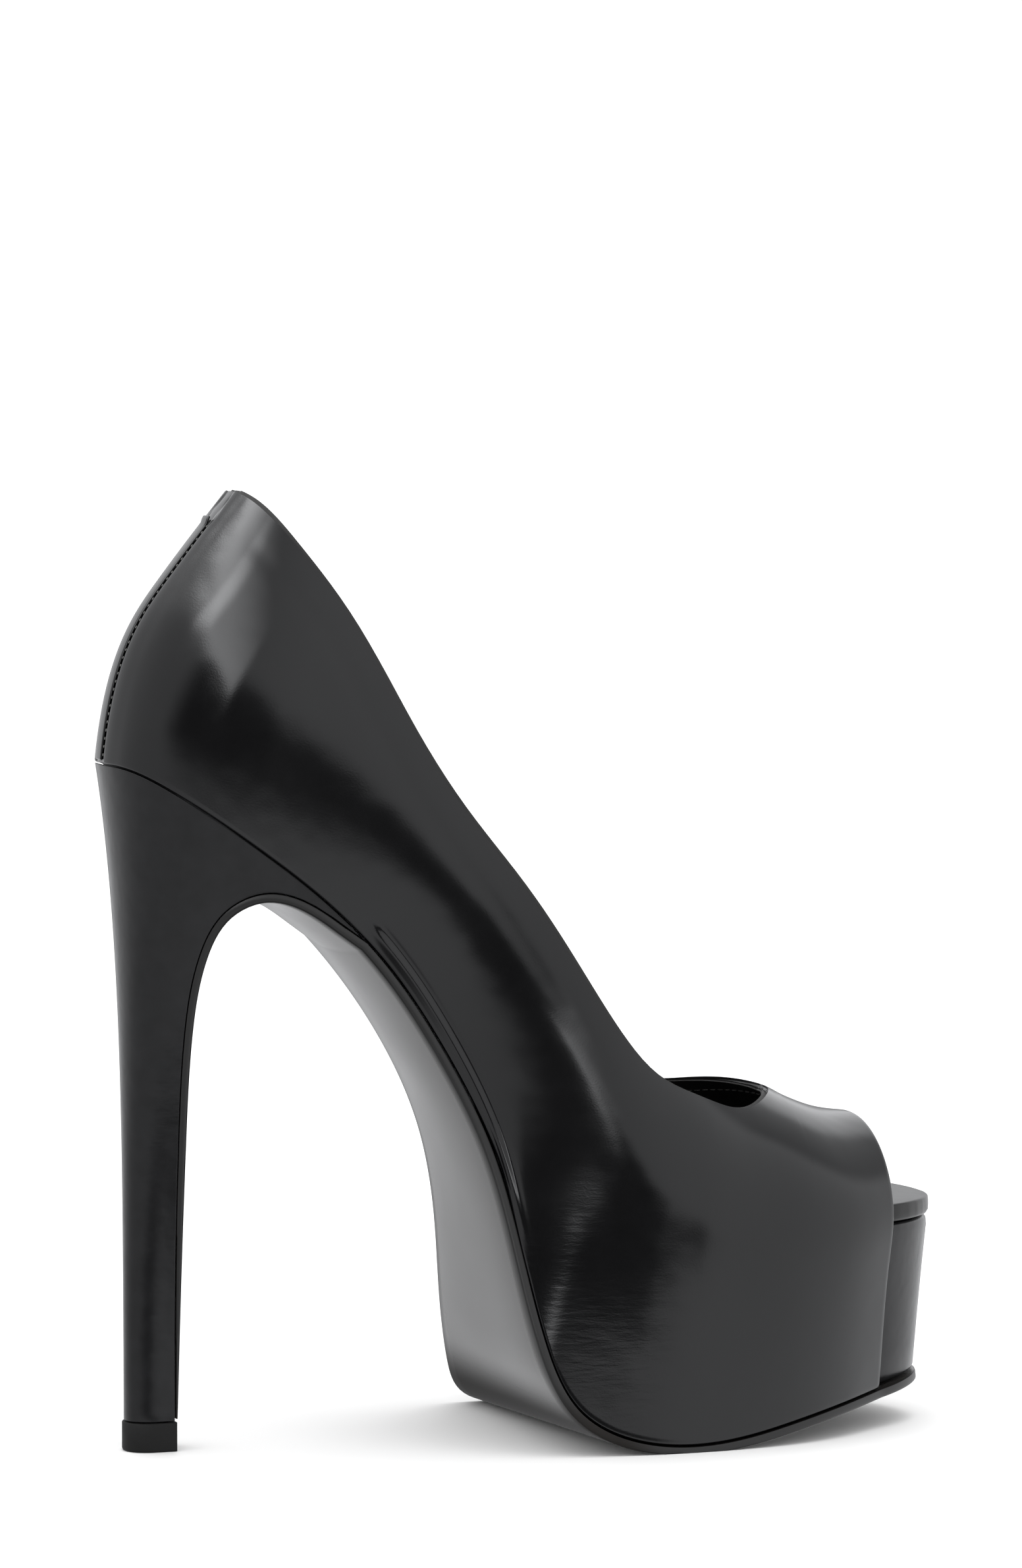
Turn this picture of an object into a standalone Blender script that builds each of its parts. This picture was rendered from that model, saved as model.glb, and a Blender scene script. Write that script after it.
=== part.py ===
"""Platform pump for the left foot, with a peep toe and a tall covered heel.

The sizes are in millimetres: x runs from the back of the heel to the toe, y from the inner side of the foot
to the outer side, and z up from the floor. Meshes are made in metres.
"""
import math

import bmesh
import bpy
import numpy as np
from mathutils import Vector
from mathutils.bvhtree import BVHTree

MM = 0.001
GAP = 0.3
MERGE_DISTANCE = 0.00005
SMOOTH_ANGLE = math.radians(40)

# Colour and roughness of each finish.
POLISHED = ((0.012, 0.012, 0.013), 0.22)
SATIN = ((0.020, 0.019, 0.019), 0.45)
MATTE = ((0.015, 0.015, 0.015), 0.60)

# The last: one row for each section, from the peep edge back to the heel seam.
# foot is the lower edge of the wall in side view and crown the top of the section. foot_y to crown_y are half
# widths at the foot, at a quarter, a half and three quarters of the height, and at the crown. rim is the height
# of the topline, and bow leans the wall back. On the outer side of the foot, flare widens the section by a share,
# and back and drop move its lower edge towards the heel and the floor.
SECTION_COLUMNS = (
    "name foot_x foot_z crown_x crown_z bow foot_y low_y mid_y high_y crown_y rim flare back drop").split()
SECTIONS = (
    ("peep", 184.4, 9.6, 185.6, 72.5, 0.0, 24.6, 26.4, 28.8, 35.3, 16.3, 72.5, 0.04, 0.0, 0.0),
    ("toes", 173.0, 8.1, 176.5, 74.0, 0.0, 33.1, 34.0, 36.1, 41.1, 20.1, 74.0, 0.00, 0.0, 0.0),
    ("throat", 157.0, 5.2, 163.4, 79.3, 0.0, 40.1, 40.8, 42.0, 46.0, 23.5, 79.3, 0.00, 0.5, 0.0),
    ("tread", 138.0, 1.9, 150.0, 86.2, 0.0, 43.0, 43.2, 43.8, 47.6, 25.6, 77.7, 0.00, 3.5, 0.0),
    ("ball", 118.0, 3.2, 139.0, 94.6, 0.0, 43.5, 44.0, 44.4, 48.4, 27.0, 81.1, 0.00, 9.9, 0.8),
    ("corner", 104.0, 10.9, 130.0, 102.0, 0.0, 42.0, 41.9, 42.6, 46.6, 28.4, 85.8, 0.02, 3.0, 0.8),
    ("riser", 97.0, 25.9, 122.0, 111.0, 0.0, 38.8, 38.6, 39.8, 42.9, 29.8, 93.9, 0.01, -0.8, -0.6),
    ("step", 93.3, 44.9, 115.0, 121.0, 0.0, 33.7, 34.7, 37.2, 38.2, 29.8, 104.1, 0.00, -1.6, -0.6),
    ("waist", 88.2, 69.0, 107.0, 134.0, 0.0, 27.2, 30.4, 33.4, 33.1, 29.3, 117.6, 0.00, -0.6, -0.6),
    ("arch", 77.8, 92.0, 98.0, 149.0, 0.0, 23.2, 27.6, 30.5, 30.4, 27.6, 132.7, 0.04, 0.0, -0.5),
    ("shank", 65.0, 111.3, 86.0, 167.9, 0.0, 22.9, 27.9, 30.3, 29.6, 25.9, 149.5, 0.10, 0.3, -0.3),
    ("breast", 50.5, 126.5, 74.0, 190.9, 0.0, 24.2, 28.6, 30.4, 29.1, 24.2, 169.8, 0.05, 0.0, 0.0),
    ("seat", 35.0, 138.8, 60.0, 211.8, 1.0, 25.0, 28.9, 30.9, 28.5, 21.8, 193.2, 0.00, 0.0, 0.0),
    ("heel", 18.0, 150.7, 49.0, 227.8, 3.6, 24.0, 27.7, 28.9, 25.4, 18.6, 210.3, 0.00, 0.0, 0.0),
    ("nook", 6.0, 158.2, 46.2, 234.9, 7.3, 15.5, 17.4, 17.2, 15.5, 11.0, 218.5, 0.00, 0.0, 0.0),
    ("back", 1.6, 159.5, 46.0, 237.1, 10.1, 0.0, 0.0, 0.0, 0.0, 0.0, 221.1, 0.00, 0.0, 0.0),
)
SECTION_HEIGHTS = (0.0, 0.25, 0.5, 0.75, 1.0, 1.0)
BOW_SHARES = (0.0, 1.0, 0.76, 0.38, 0.0, 0.0)

UPPER_WALL = 1.8
UPPER_STATIONS_VAMP = 5
UPPER_STATIONS_QUARTER = 30
UPPER_STEPS = 14
TOPLINE_LOWEST = 0.3
TOPLINE_HALVINGS = 40
SURFACE_PROBE = 0.002

# Strip over the back seam.
STRIP_HALF = 2.8
STRIP_THICK = 0.8
STRIP_FOOT = 0.01
STRIP_TOP_DROP = 6.0
STRIP_STEPS = 18
STRIP_ACROSS = (-1.0, -0.35, 0.35, 1.0)

# The toe in front of the peep edge: ellipses round one centre, longer at the insole than at the floor.
TOE_CENTRE = 165.0
TOE_START = 183.2
TOE_LENGTH_INSOLE = 38.2
TOE_LENGTH_TOP = 37.9
TOE_LENGTH_FLOOR = 35.0
TOE_LENGTH_OUTSOLE = 35.3
TOE_LEAN_IN = 2.5
TOE_END_ANGLE = 0.06
TOE_STEPS = 9

# Lower face of the insole in side view, from the peep edge to the heel.
INSOLE_LINE = (
    (TOE_START, 49.4),
    (165.0, 46.8),
    (145.0, 44.8),
    (128.0, 46.3),
    (114.0, 51.5),
    (102.0, 60.0),
    (93.2, 70.5),
    (84.8, 84.0),
    (75.2, 99.5),
    (63.6, 114.6),
    (50.6, 128.2),
    (35.2, 140.2),
    (18.5, 151.8),
    (9.3, 157.8),
    (5.2, 160.0),
)
INSOLE_THICK = 4.2
INSOLE_ROUND = 1.4
INSOLE_ROUND_MOST = 0.4
INSOLE_SIDE_ROOM = 0.15
INSOLE_EDGE = ((INSOLE_ROUND, 0.0), (0.0, 0.3), (0.0, 0.65), (INSOLE_ROUND, 1.0))
INSOLE_TIP_RISE = -0.4
INSOLE_STEPS = 40

# Inner face of the outsole behind the arch: under the heel's wing, over the vault and down the heel's breast.
BREAST_LINE = (
    (53.3, 122.1),
    (45.4, 127.4),
    (35.0, 130.2),
    (26.0, 126.0),
    (20.8, 115.6),
    (18.5, 99.0),
    (18.0, 72.0),
    (17.9, 40.0),
    (17.9, 7.6),
)
OUTSOLE_THICK = 1.9
OUTSOLE_FLAP_END = 0.4
OUTSOLE_FLAP_TAPER = 4.0
OUTSOLE_LIP = 0.7
OUTSOLE_BELLY = 2.0
OUTSOLE_BELLY_FADE = 0.4
OUTSOLE_TIP_Z = 11.4
OUTSOLE_LEAVES = 0.45
OUTSOLE_STEPS_SHARED = 34
OUTSOLE_STEPS_BREAST = 24
OUTSOLE_STEPS_ACROSS = 6

PLATFORM_STEPS = 26
PLATFORM_LEVELS = 9
PLATFORM_FLOOR_ROOM = 0.35
PLATFORM_SIDE_ROOM = 1.3
CEILING_STEPS = 160
PLATFORM_PROBE = np.array([0.12, 0.4])

HEEL_WING = 0.36
HEEL_BOTTOM = 7.1
HEEL_TIP_BACK = 6.9
HEEL_TIP_FRONT = 21.0
HEEL_TIP_HALF = 5.4
HEEL_FRONT = 18.1
HEEL_FLARE_X = 4.2
HEEL_FLARE_Y = 2.7
HEEL_STATIONS = 30
HEEL_CROWDING = 0.6
HEEL_STEPS = 13
HEEL_SPARE = 0.03
HEEL_SEAT_STEPS = 40
HEEL_SEAT_REACH = 1.3
CUTTER_SIDE = 60.0

TIP_OVERHANG = 0.4
TIP_ROUND = 0.5


def spline(knots, values):
    """Natural cubic spline through the values at the knots, as a function of the position."""
    knots = np.asarray(knots, float)
    values = np.asarray(values, float)
    steps = np.diff(knots)
    count = len(knots)
    matrix = np.eye(count)
    pull = np.zeros_like(values)
    for i in range(1, count - 1):
        matrix[i, i - 1:i + 2] = steps[i - 1], 2 * (steps[i - 1] + steps[i]), steps[i]
        pull[i] = 6 * ((values[i + 1] - values[i]) / steps[i] - (values[i] - values[i - 1]) / steps[i - 1])
    bend = np.linalg.solve(matrix, pull)

    def at(position):
        i = int(np.clip(np.searchsorted(knots, position) - 1, 0, count - 2))
        before = (knots[i + 1] - position) / steps[i]
        after = 1 - before
        curve = (before ** 3 - before) * bend[i] + (after ** 3 - after) * bend[i + 1]
        return before * values[i] + after * values[i + 1] + curve * steps[i] ** 2 / 6

    return at


def line_through(points):
    """Spline through points of a side view, with its place and its unit tangent at 0 to 1 of its length."""
    points = np.array(points)
    runs = np.linalg.norm(np.diff(points, axis=0), axis=1)
    knots = np.concatenate([[0.0], np.cumsum(runs)]) / runs.sum()
    curve = spline(knots, points)

    def at(share):
        ahead = curve(min(share + SURFACE_PROBE, 1.0)) - curve(max(share - SURFACE_PROBE, 0.0))
        return curve(share), ahead / np.linalg.norm(ahead)

    return at


def ease(share):
    """Smooth step from 0 to 1."""
    share = min(max(share, 0.0), 1.0)
    return share * share * (3 - 2 * share)


def left_of(along):
    """Unit normal of a line in side view, on the left of its direction."""
    return np.array([-along[1], along[0]])


def blend_weights(t):
    """Weights of a clamped cubic B-spline on the six control points of a section."""
    knots = (0, 0, 0, 0, 1 / 3, 2 / 3, 1, 1, 1, 1)
    t = min(max(t, 0.0), 1.0 - 1e-9)
    weights = [1.0 if knots[i] <= t < knots[i + 1] else 0.0 for i in range(9)]
    for degree in (1, 2, 3):
        for i in range(9 - degree):
            left = knots[i + degree] - knots[i]
            right = knots[i + degree + 1] - knots[i + 1]
            rise = (t - knots[i]) / left * weights[i] if left else 0.0
            fall = (knots[i + degree + 1] - t) / right * weights[i + 1] if right else 0.0
            weights[i] = rise + fall
    return np.array(weights[:6])


ROWS = [dict(zip(SECTION_COLUMNS, row)) for row in SECTIONS]
HALF_COLUMNS = ("foot_y", "low_y", "mid_y", "high_y", "crown_y")
INNER = -1
OUTER = 1
SIDES = (INNER, OUTER)


def section_controls(row, side):
    """Six control points of one half section, from the foot to the middle of the crown."""
    foot = np.array([row["foot_x"], 0.0, row["foot_z"]])
    widen = 1.0
    if side == OUTER:
        foot -= (row["back"], 0.0, row["drop"])
        widen += row["flare"]
    rise = np.array([row["crown_x"], 0.0, row["crown_z"]]) - foot
    backwards = np.array([-rise[2], 0.0, rise[0]]) / np.linalg.norm(rise)
    halves = [row[column] for column in HALF_COLUMNS] + [0.0]
    points = []
    for height, share, half in zip(SECTION_HEIGHTS, BOW_SHARES, halves):
        point = foot + height * rise + share * row["bow"] * backwards
        point[1] = side * half * widen
        points.append(point)
    return np.array(points)


def girth_positions():
    """Place of each row round the shoe: 1 at the peep edge and 0 at the back seam."""
    middles = [section_controls(row, INNER)[1:3].mean(axis=0) for row in ROWS]
    runs = np.linalg.norm(np.diff(middles, axis=0), axis=1)
    return 1 - np.concatenate([[0.0], np.cumsum(runs)]) / runs.sum()


GIRTH = girth_positions()
AT = {row["name"]: place for row, place in zip(ROWS, GIRTH)}


def last_loop():
    """Spline of the control points and the topline height, from the inner peep edge round to the outer one."""
    knots = []
    values = []
    inner = list(zip(ROWS, GIRTH))
    for side, stations in ((INNER, inner), (OUTER, inner[-2::-1])):
        for row, place in stations:
            knots.append(side * place)
            values.append(np.append(section_controls(row, side).ravel(), row["rim"]))
    return spline(knots, values)


LAST = last_loop()


def wall(u, t):
    """Point of the upper's outer face; u runs round the shoe from -1 to 1 and t from the foot to the crown."""
    return blend_weights(t) @ LAST(u)[:18].reshape(6, 3)


def wall_normal(u, t):
    along = wall(min(u + SURFACE_PROBE, 1.0), t) - wall(max(u - SURFACE_PROBE, -1.0), t)
    up = wall(u, min(t + SURFACE_PROBE, 1.0)) - wall(u, max(t - SURFACE_PROBE, 0.0))
    normal = np.cross(up, along)
    return normal / np.linalg.norm(normal)


def topline(u):
    """Where the section at u is cut off at the collar, or 1 where the vamp closes over the toes."""
    if abs(u) >= AT["throat"]:
        return 1.0
    rim = LAST(u)[18]
    low, high = TOPLINE_LOWEST, 1.0
    for _ in range(TOPLINE_HALVINGS):
        middle = (low + high) / 2
        low, high = (middle, high) if wall(u, middle)[2] < rim else (low, middle)
    return low


def foot_line(u):
    """Lower edge of the upper in side view at u, with its unit normal away from the foot."""
    side = math.copysign(1.0, u)
    back = wall(side * max(abs(u) - SURFACE_PROBE, 0.0), 0.0)
    ahead = wall(side * min(abs(u) + SURFACE_PROBE, 1.0), 0.0)
    along = (back - ahead)[[0, 2]]
    return wall(u, 0.0)[[0, 2]], left_of(along / np.linalg.norm(along))


def upper_stations():
    vamp = np.linspace(1.0, AT["throat"], UPPER_STATIONS_VAMP, endpoint=False)
    shares = np.linspace(0.0, 1.0, UPPER_STATIONS_QUARTER + 1)
    quarter = [AT["throat"] * (1 - ease(share)) for share in shares]
    half = np.concatenate([vamp, quarter])
    return np.concatenate([-half, half[-2::-1]])


def sheet(bm, columns, rows, place):
    """A grid of quads whose corners are moved to place(column, row)."""
    grid = bmesh.ops.create_grid(bm, x_segments=columns, y_segments=rows, size=1.0)
    for vert in grid["verts"]:
        column = round((vert.co.x + 1) / 2 * columns)
        row = round((vert.co.y + 1) / 2 * rows)
        vert.co = Vector(place(column, row)) * MM


def tube(rings):
    """Closed rings of equal length joined into a body with flat ends."""
    bm = bmesh.new()
    size = len(rings[0])
    sheet(bm, size, len(rings) - 1, lambda column, row: rings[row][column % size])
    bmesh.ops.remove_doubles(bm, verts=bm.verts, dist=MERGE_DISTANCE)
    bmesh.ops.holes_fill(bm, edges=bm.edges)
    bmesh.ops.recalc_face_normals(bm, faces=bm.faces)
    return bm


def finish(name, bm, look):
    """Turn the bmesh into a named object with its own material."""
    mesh = bpy.data.meshes.new(name)
    bm.to_mesh(mesh)
    bm.free()
    mesh.shade_smooth()
    mesh.set_sharp_from_angle(angle=SMOOTH_ANGLE)
    piece = bpy.data.objects.new(name, mesh)
    bpy.context.collection.objects.link(piece)
    colour, roughness = look
    material = bpy.data.materials.new(name)
    material.use_nodes = True
    shader = material.node_tree.nodes["Principled BSDF"]
    shader.inputs["Base Color"].default_value = (*colour, 1.0)
    shader.inputs["Roughness"].default_value = roughness
    shader.inputs["Metallic"].default_value = 0.0
    mesh.materials.append(material)
    return piece


def make_upper():
    """Shell of leather over the last, open at the collar, the throat, the peep toe and underneath."""
    stations = upper_stations()
    tops = [topline(u) for u in stations]
    bm = bmesh.new()
    sheet(bm, len(stations) - 1, UPPER_STEPS, lambda i, k: wall(stations[i], tops[i] * k / UPPER_STEPS))
    bmesh.ops.remove_doubles(bm, verts=bm.verts, dist=MERGE_DISTANCE)
    bmesh.ops.reverse_faces(bm, faces=bm.faces)
    upper = finish("upper", bm, POLISHED)
    solid = upper.modifiers.new("wall", "SOLIDIFY")
    solid.thickness = UPPER_WALL * MM
    solid.offset = -1.0
    solid.use_even_offset = True
    return upper


def make_back_strip():
    """Strip over the back seam, lifted off the upper's own face."""
    top = topline(0.0)
    while wall(0.0, top)[2] > ROWS[-1]["rim"] - STRIP_TOP_DROP:
        top -= SURFACE_PROBE
    rings = []
    for t in np.linspace(STRIP_FOOT, top, STRIP_STEPS):
        pace = np.linalg.norm(wall(SURFACE_PROBE, t) - wall(-SURFACE_PROBE, t)) / (2 * SURFACE_PROBE)
        across = [share * STRIP_HALF / pace for share in STRIP_ACROSS]
        under = [wall(u, t) + wall_normal(u, t) * GAP for u in across]
        over = [wall(u, t) + wall_normal(u, t) * (GAP + STRIP_THICK) for u in reversed(across)]
        rings.append(under + over)
    return finish("back_strip", tube(rings), POLISHED)


def toe_point(step, length, half, begin=TOE_START):
    """Place x and y of the toe's outline at step 0 to 1 from the peep edge to the tip."""
    start = math.acos((begin - TOE_CENTRE) / length)
    angle = start + (TOE_END_ANGLE - start) * step
    return TOE_CENTRE + length * math.cos(angle), half * math.sin(angle) / math.sin(start) - TOE_LEAN_IN * step ** 2


def toe_spring(x):
    """Height of the outsole's inner face in front of the peep edge."""
    place, away = foot_line(1.0)
    slope = -away[0] / away[1]
    ahead = x - place[0]
    tip = TOE_CENTRE + TOE_LENGTH_OUTSOLE - place[0]
    start = place[1] + away[1] * GAP
    curl = (OUTSOLE_TIP_Z - start - slope * tip) / tip ** 2
    return start + slope * ahead + curl * ahead ** 2


def inner_wall(upper):
    """Ray test against the finished upper: y of its inner face at x and z on each side, less the gap."""
    tree = BVHTree.FromObject(upper, bpy.context.evaluated_depsgraph_get())

    def reach(x, z, side):
        hit = tree.ray_cast(Vector((x, 0.0, z)) * MM, Vector((0.0, side, 0.0)))[0]
        return hit.y / MM - side * GAP if hit else None

    return reach


INSOLE_AT = line_through(INSOLE_LINE)
BREAST_AT = line_through(BREAST_LINE)


def make_insole(reach):
    """Padded footbed with round edges: follows the last's bottom line and runs out past the peep edge."""
    rings = []
    bottom = INSOLE_AT(0.0)[0][1]
    for i in range(TOE_STEPS, 0, -1):
        step = i / TOE_STEPS
        columns = []
        for side in SIDES:
            low = reach(TOE_START, bottom, side)
            high = reach(TOE_START, bottom + INSOLE_THICK, side)
            column = []
            for inset, lift in INSOLE_EDGE:
                half = low + (high - low) * lift - side * inset
                x, y = toe_point(step, TOE_LENGTH_INSOLE - inset, half)
                column.append((x, y, bottom + INSOLE_TIP_RISE * step + INSOLE_THICK * lift))
            columns.append(column)
        rings.append(columns[0] + columns[1][::-1])
    for turn in np.linspace(0.0, math.pi / 2, INSOLE_STEPS):
        place, along = INSOLE_AT(math.sin(turn))
        columns = []
        for side in SIDES:
            column = []
            for inset, lift in INSOLE_EDGE:
                x, z = place - left_of(along) * INSOLE_THICK * lift
                half = reach(x, z, side) - side * INSOLE_SIDE_ROOM
                column.append((x, half - side * min(inset, abs(half) * INSOLE_ROUND_MOST), z))
            columns.append(column)
        rings.append(columns[0] + columns[1][::-1])
    return finish("insole", tube(rings), POLISHED)


def make_platform(reach):
    """Block between outsole and insole, inside the upper's walls and then round the toe."""
    ceiling = []
    for share in np.linspace(1.0, 0.0, CEILING_STEPS):
        place, along = INSOLE_AT(share)
        ceiling.append(place + left_of(along) * GAP)
    ceiling = np.array(ceiling)
    levels = np.linspace(0.0, 1.0, PLATFORM_LEVELS)

    def column(low, high, side):
        points = []
        for level in levels:
            spot = low + (high - low) * level
            probe = spot.copy()
            while reach(*probe, side) is None:
                probe += PLATFORM_PROBE
            points.append((spot[0], reach(*probe, side) - side * PLATFORM_SIDE_ROOM, spot[1]))
        return points

    rings = []
    for u in np.linspace(AT["waist"], 1.0, PLATFORM_STEPS):
        feet = []
        for side in SIDES:
            place, away = foot_line(side * u)
            x, z = place - away * PLATFORM_FLOOR_ROOM
            feet.append(np.array([min(x, TOE_START), z]))
        x = (feet[0][0] + feet[1][0]) / 2
        top = np.array([x, np.interp(x, ceiling[:, 0], ceiling[:, 1])])
        columns = [column(foot, top, side) for foot, side in zip(feet, SIDES)]
        rings.append(columns[0] + columns[1][::-1])
    for i in range(1, TOE_STEPS + 1):
        step = i / TOE_STEPS
        toe_columns = []
        for points in columns:
            toe_column = []
            for level, (_, half, _) in zip(levels, points):
                x, y = toe_point(step, TOE_LENGTH_FLOOR + (TOE_LENGTH_TOP - TOE_LENGTH_FLOOR) * level, half)
                low = toe_spring(x) + GAP + PLATFORM_FLOOR_ROOM
                high = points[-1][2] + INSOLE_TIP_RISE * step
                toe_column.append((x, y, low + (high - low) * level))
            toe_columns.append(toe_column)
        rings.append(toe_columns[0] + toe_columns[1][::-1])
    return finish("platform", tube(rings), POLISHED)


def heel_seat():
    """Outline of the heel's seat from the inner wing round the back to the outer wing."""
    wing = AT["shank"] + (AT["breast"] - AT["shank"]) * HEEL_WING
    shares = np.linspace(-1.0, 1.0, HEEL_STATIONS + 1)
    return np.array([wall(wing * share * (1 - HEEL_CROWDING * (1 - abs(share))), 0.0) for share in shares])


def heel_tip(seat, overhang):
    """Outline of the heel's foot, point for point under the seat's outline."""
    back = seat[:, 0].min()
    share = (seat[:, 0] - back) / (seat[0][0] - back)
    x = HEEL_TIP_BACK - overhang + (HEEL_TIP_FRONT - HEEL_TIP_BACK + overhang) * share
    return x, (HEEL_TIP_HALF + overhang) * seat[:, 1] / np.abs(seat[:, 1]).max()


def heel_blank():
    """Closed form of the heel before its seat and breast are cut: the seat's outline shrinks down to the tip."""
    seat = heel_seat()
    tip_x, tip_y = heel_tip(seat, 0.0)
    rings = []
    for grown in np.linspace(-HEEL_SPARE, 1 + HEEL_SPARE, HEEL_STEPS + 1):
        x = tip_x + (seat[:, 0] - tip_x) * max(grown, 0.0) ** HEEL_FLARE_X
        y = tip_y + (seat[:, 1] - tip_y) * max(grown, 0.0) ** HEEL_FLARE_Y
        rings.append(list(zip(x, y, HEEL_BOTTOM + (seat[:, 2] - HEEL_BOTTOM) * grown)))
    return finish("heel", tube(rings), POLISHED)


def breast_point(share, offset):
    place, along = BREAST_AT(share)
    return place + left_of(along) * offset


def heel_profile():
    """Side view of the heel: breast in front, tip below and seat above."""
    shares = np.linspace(0.0, 1.0, OUTSOLE_STEPS_BREAST + 1)
    profile = [breast_point(share, -GAP) for share in shares]
    profile.append((profile[-1][0], HEEL_BOTTOM))
    profile.append((-CUTTER_SIDE, HEEL_BOTTOM))
    profile.append((-CUTTER_SIDE, ROWS[-1]["foot_z"] - GAP))
    for u in np.linspace(0.0, AT["breast"] * HEEL_SEAT_REACH, HEEL_SEAT_STEPS):
        place, away = foot_line(u)
        point = place + away * GAP
        if point[0] < profile[0][0]:
            profile.append(point)
    return profile


def make_heel():
    """The blank, kept only inside its side view."""
    heel = heel_blank()
    bm = bmesh.new()
    face = bm.faces.new([bm.verts.new(Vector((x, -CUTTER_SIDE, z)) * MM) for x, z in heel_profile()])
    grown = bmesh.ops.extrude_face_region(bm, geom=[face])
    pushed = [item for item in grown["geom"] if isinstance(item, bmesh.types.BMVert)]
    bmesh.ops.translate(bm, verts=pushed, vec=Vector((0.0, 2 * CUTTER_SIDE, 0.0)) * MM)
    bmesh.ops.recalc_face_normals(bm, faces=bm.faces)
    cutter = finish("heel_profile", bm, POLISHED)
    cutter.hide_render = True
    cutter.display_type = "WIRE"
    cut = heel.modifiers.new("profile", "BOOLEAN")
    cut.operation = "INTERSECT"
    cut.solver = "EXACT"
    cut.object = cutter
    return heel


def outsole_route(heel):
    """Edges of the outsole's inner face on both sides, from the toe tip to the end of the flap, with its depths."""
    blank = BVHTree.FromPolygons([vert.co for vert in heel.data.vertices],
                                 [face.vertices for face in heel.data.polygons])
    edges = []
    depths = []
    peep = ROWS[0]["foot_x"]
    for i in range(TOE_STEPS, 0, -1):
        edge = []
        for side in SIDES:
            half = wall(side, 0.0)[1] + side * OUTSOLE_LIP
            x, y = toe_point(i / TOE_STEPS, TOE_LENGTH_OUTSOLE, half, peep)
            edge.append((x, y, toe_spring(x)))
        edges.append(edge)
        depths.append((OUTSOLE_THICK, 0.0))
    leaves = AT["shank"] + (AT["breast"] - AT["shank"]) * OUTSOLE_LEAVES
    for u in np.linspace(1.0, leaves, OUTSOLE_STEPS_SHARED):
        edge = []
        for side in SIDES:
            place, away = foot_line(side * u)
            x, z = place + away * GAP
            edge.append((x, wall(side * u, 0.0)[1] + side * OUTSOLE_LIP, z))
        edges.append(edge)
        arched = ease((AT["riser"] - u) / (AT["riser"] - AT["arch"]))
        depths.append((OUTSOLE_THICK, OUTSOLE_BELLY * arched))
    for share in np.linspace(0.0, 1.0, OUTSOLE_STEPS_BREAST + 1):
        x, z = breast_point(share, 0.0)
        edge = []
        for side in SIDES:
            hit = blank.ray_cast(Vector((x, 0.0, z)) * MM, Vector((0.0, side, 0.0)))[0]
            edge.append((x, hit.y / MM, z))
        edges.append(edge)
        thick = OUTSOLE_THICK + (OUTSOLE_FLAP_END - OUTSOLE_THICK) * share ** OUTSOLE_FLAP_TAPER
        depths.append((thick, OUTSOLE_BELLY * ease(1 - share / OUTSOLE_BELLY_FADE)))
    return np.array(edges), depths


def make_outsole(heel):
    """Thin sole with a little belly across the arch, flat on the floor at the tread, with the heel's breast flap."""
    edges, depths = outsole_route(heel)
    along = np.gradient(edges[:, :, [0, 2]], axis=0)
    along /= np.linalg.norm(along, axis=2)[:, :, None]
    away = np.stack([-along[:, :, 1], np.zeros(along.shape[:2]), along[:, :, 0]], axis=2)
    across = np.linspace(0.0, 1.0, OUTSOLE_STEPS_ACROSS + 1)
    rings = []
    for edge, apart, (thick, belly) in zip(edges, away, depths):
        ring = [edge[0] + (edge[1] - edge[0]) * share for share in across]
        for share in across[::-1]:
            depth = thick + belly * 4 * share * (1 - share)
            point = edge[0] + (edge[1] - edge[0]) * share + (apart[0] + (apart[1] - apart[0]) * share) * depth
            ring.append((point[0], point[1], max(point[2], 0.0)))
        rings.append(ring)
    return finish("outsole", tube(rings), SATIN)


def make_top_piece():
    """Wearing tip: the heel's foot with a small overhang and a rounded lower edge."""
    seat = heel_seat()
    rings = []
    for height, inset in ((0.0, TIP_ROUND), (TIP_ROUND, 0.0), (HEEL_BOTTOM - GAP, 0.0)):
        overhang = TIP_OVERHANG - inset
        x, y = heel_tip(seat, overhang)
        rings.append([(min(a, HEEL_FRONT + overhang), b, height) for a, b in zip(x, y)])
    return finish("top_piece", tube(rings), MATTE)


def stand_at_origin():
    """Parent every piece to an empty that brings the middle of the shoe's box over the origin."""
    pieces = [piece for piece in bpy.data.objects if piece.type == "MESH"]
    depsgraph = bpy.context.evaluated_depsgraph_get()
    shown = [piece.evaluated_get(depsgraph) for piece in pieces if not piece.hide_render]
    corners = np.array([corner for piece in shown for corner in piece.bound_box])
    middle = (corners.min(axis=0) + corners.max(axis=0)) / 2
    shoe = bpy.data.objects.new("shoe", None)
    bpy.context.collection.objects.link(shoe)
    shoe.location = (-middle[0], -middle[1], -corners[:, 2].min())
    for piece in pieces:
        piece.parent = shoe


def remove_everything():
    for piece in list(bpy.data.objects):
        bpy.data.objects.remove(piece, do_unlink=True)


def main():
    remove_everything()
    upper = make_upper()
    make_back_strip()
    reach = inner_wall(upper)
    make_insole(reach)
    make_platform(reach)
    heel = make_heel()
    make_outsole(heel)
    make_top_piece()
    stand_at_origin()


main()
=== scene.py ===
import math

import bmesh
import bpy
import numpy as np
from mathutils import Matrix, Vector
from mathutils.bvhtree import BVHTree


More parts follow.
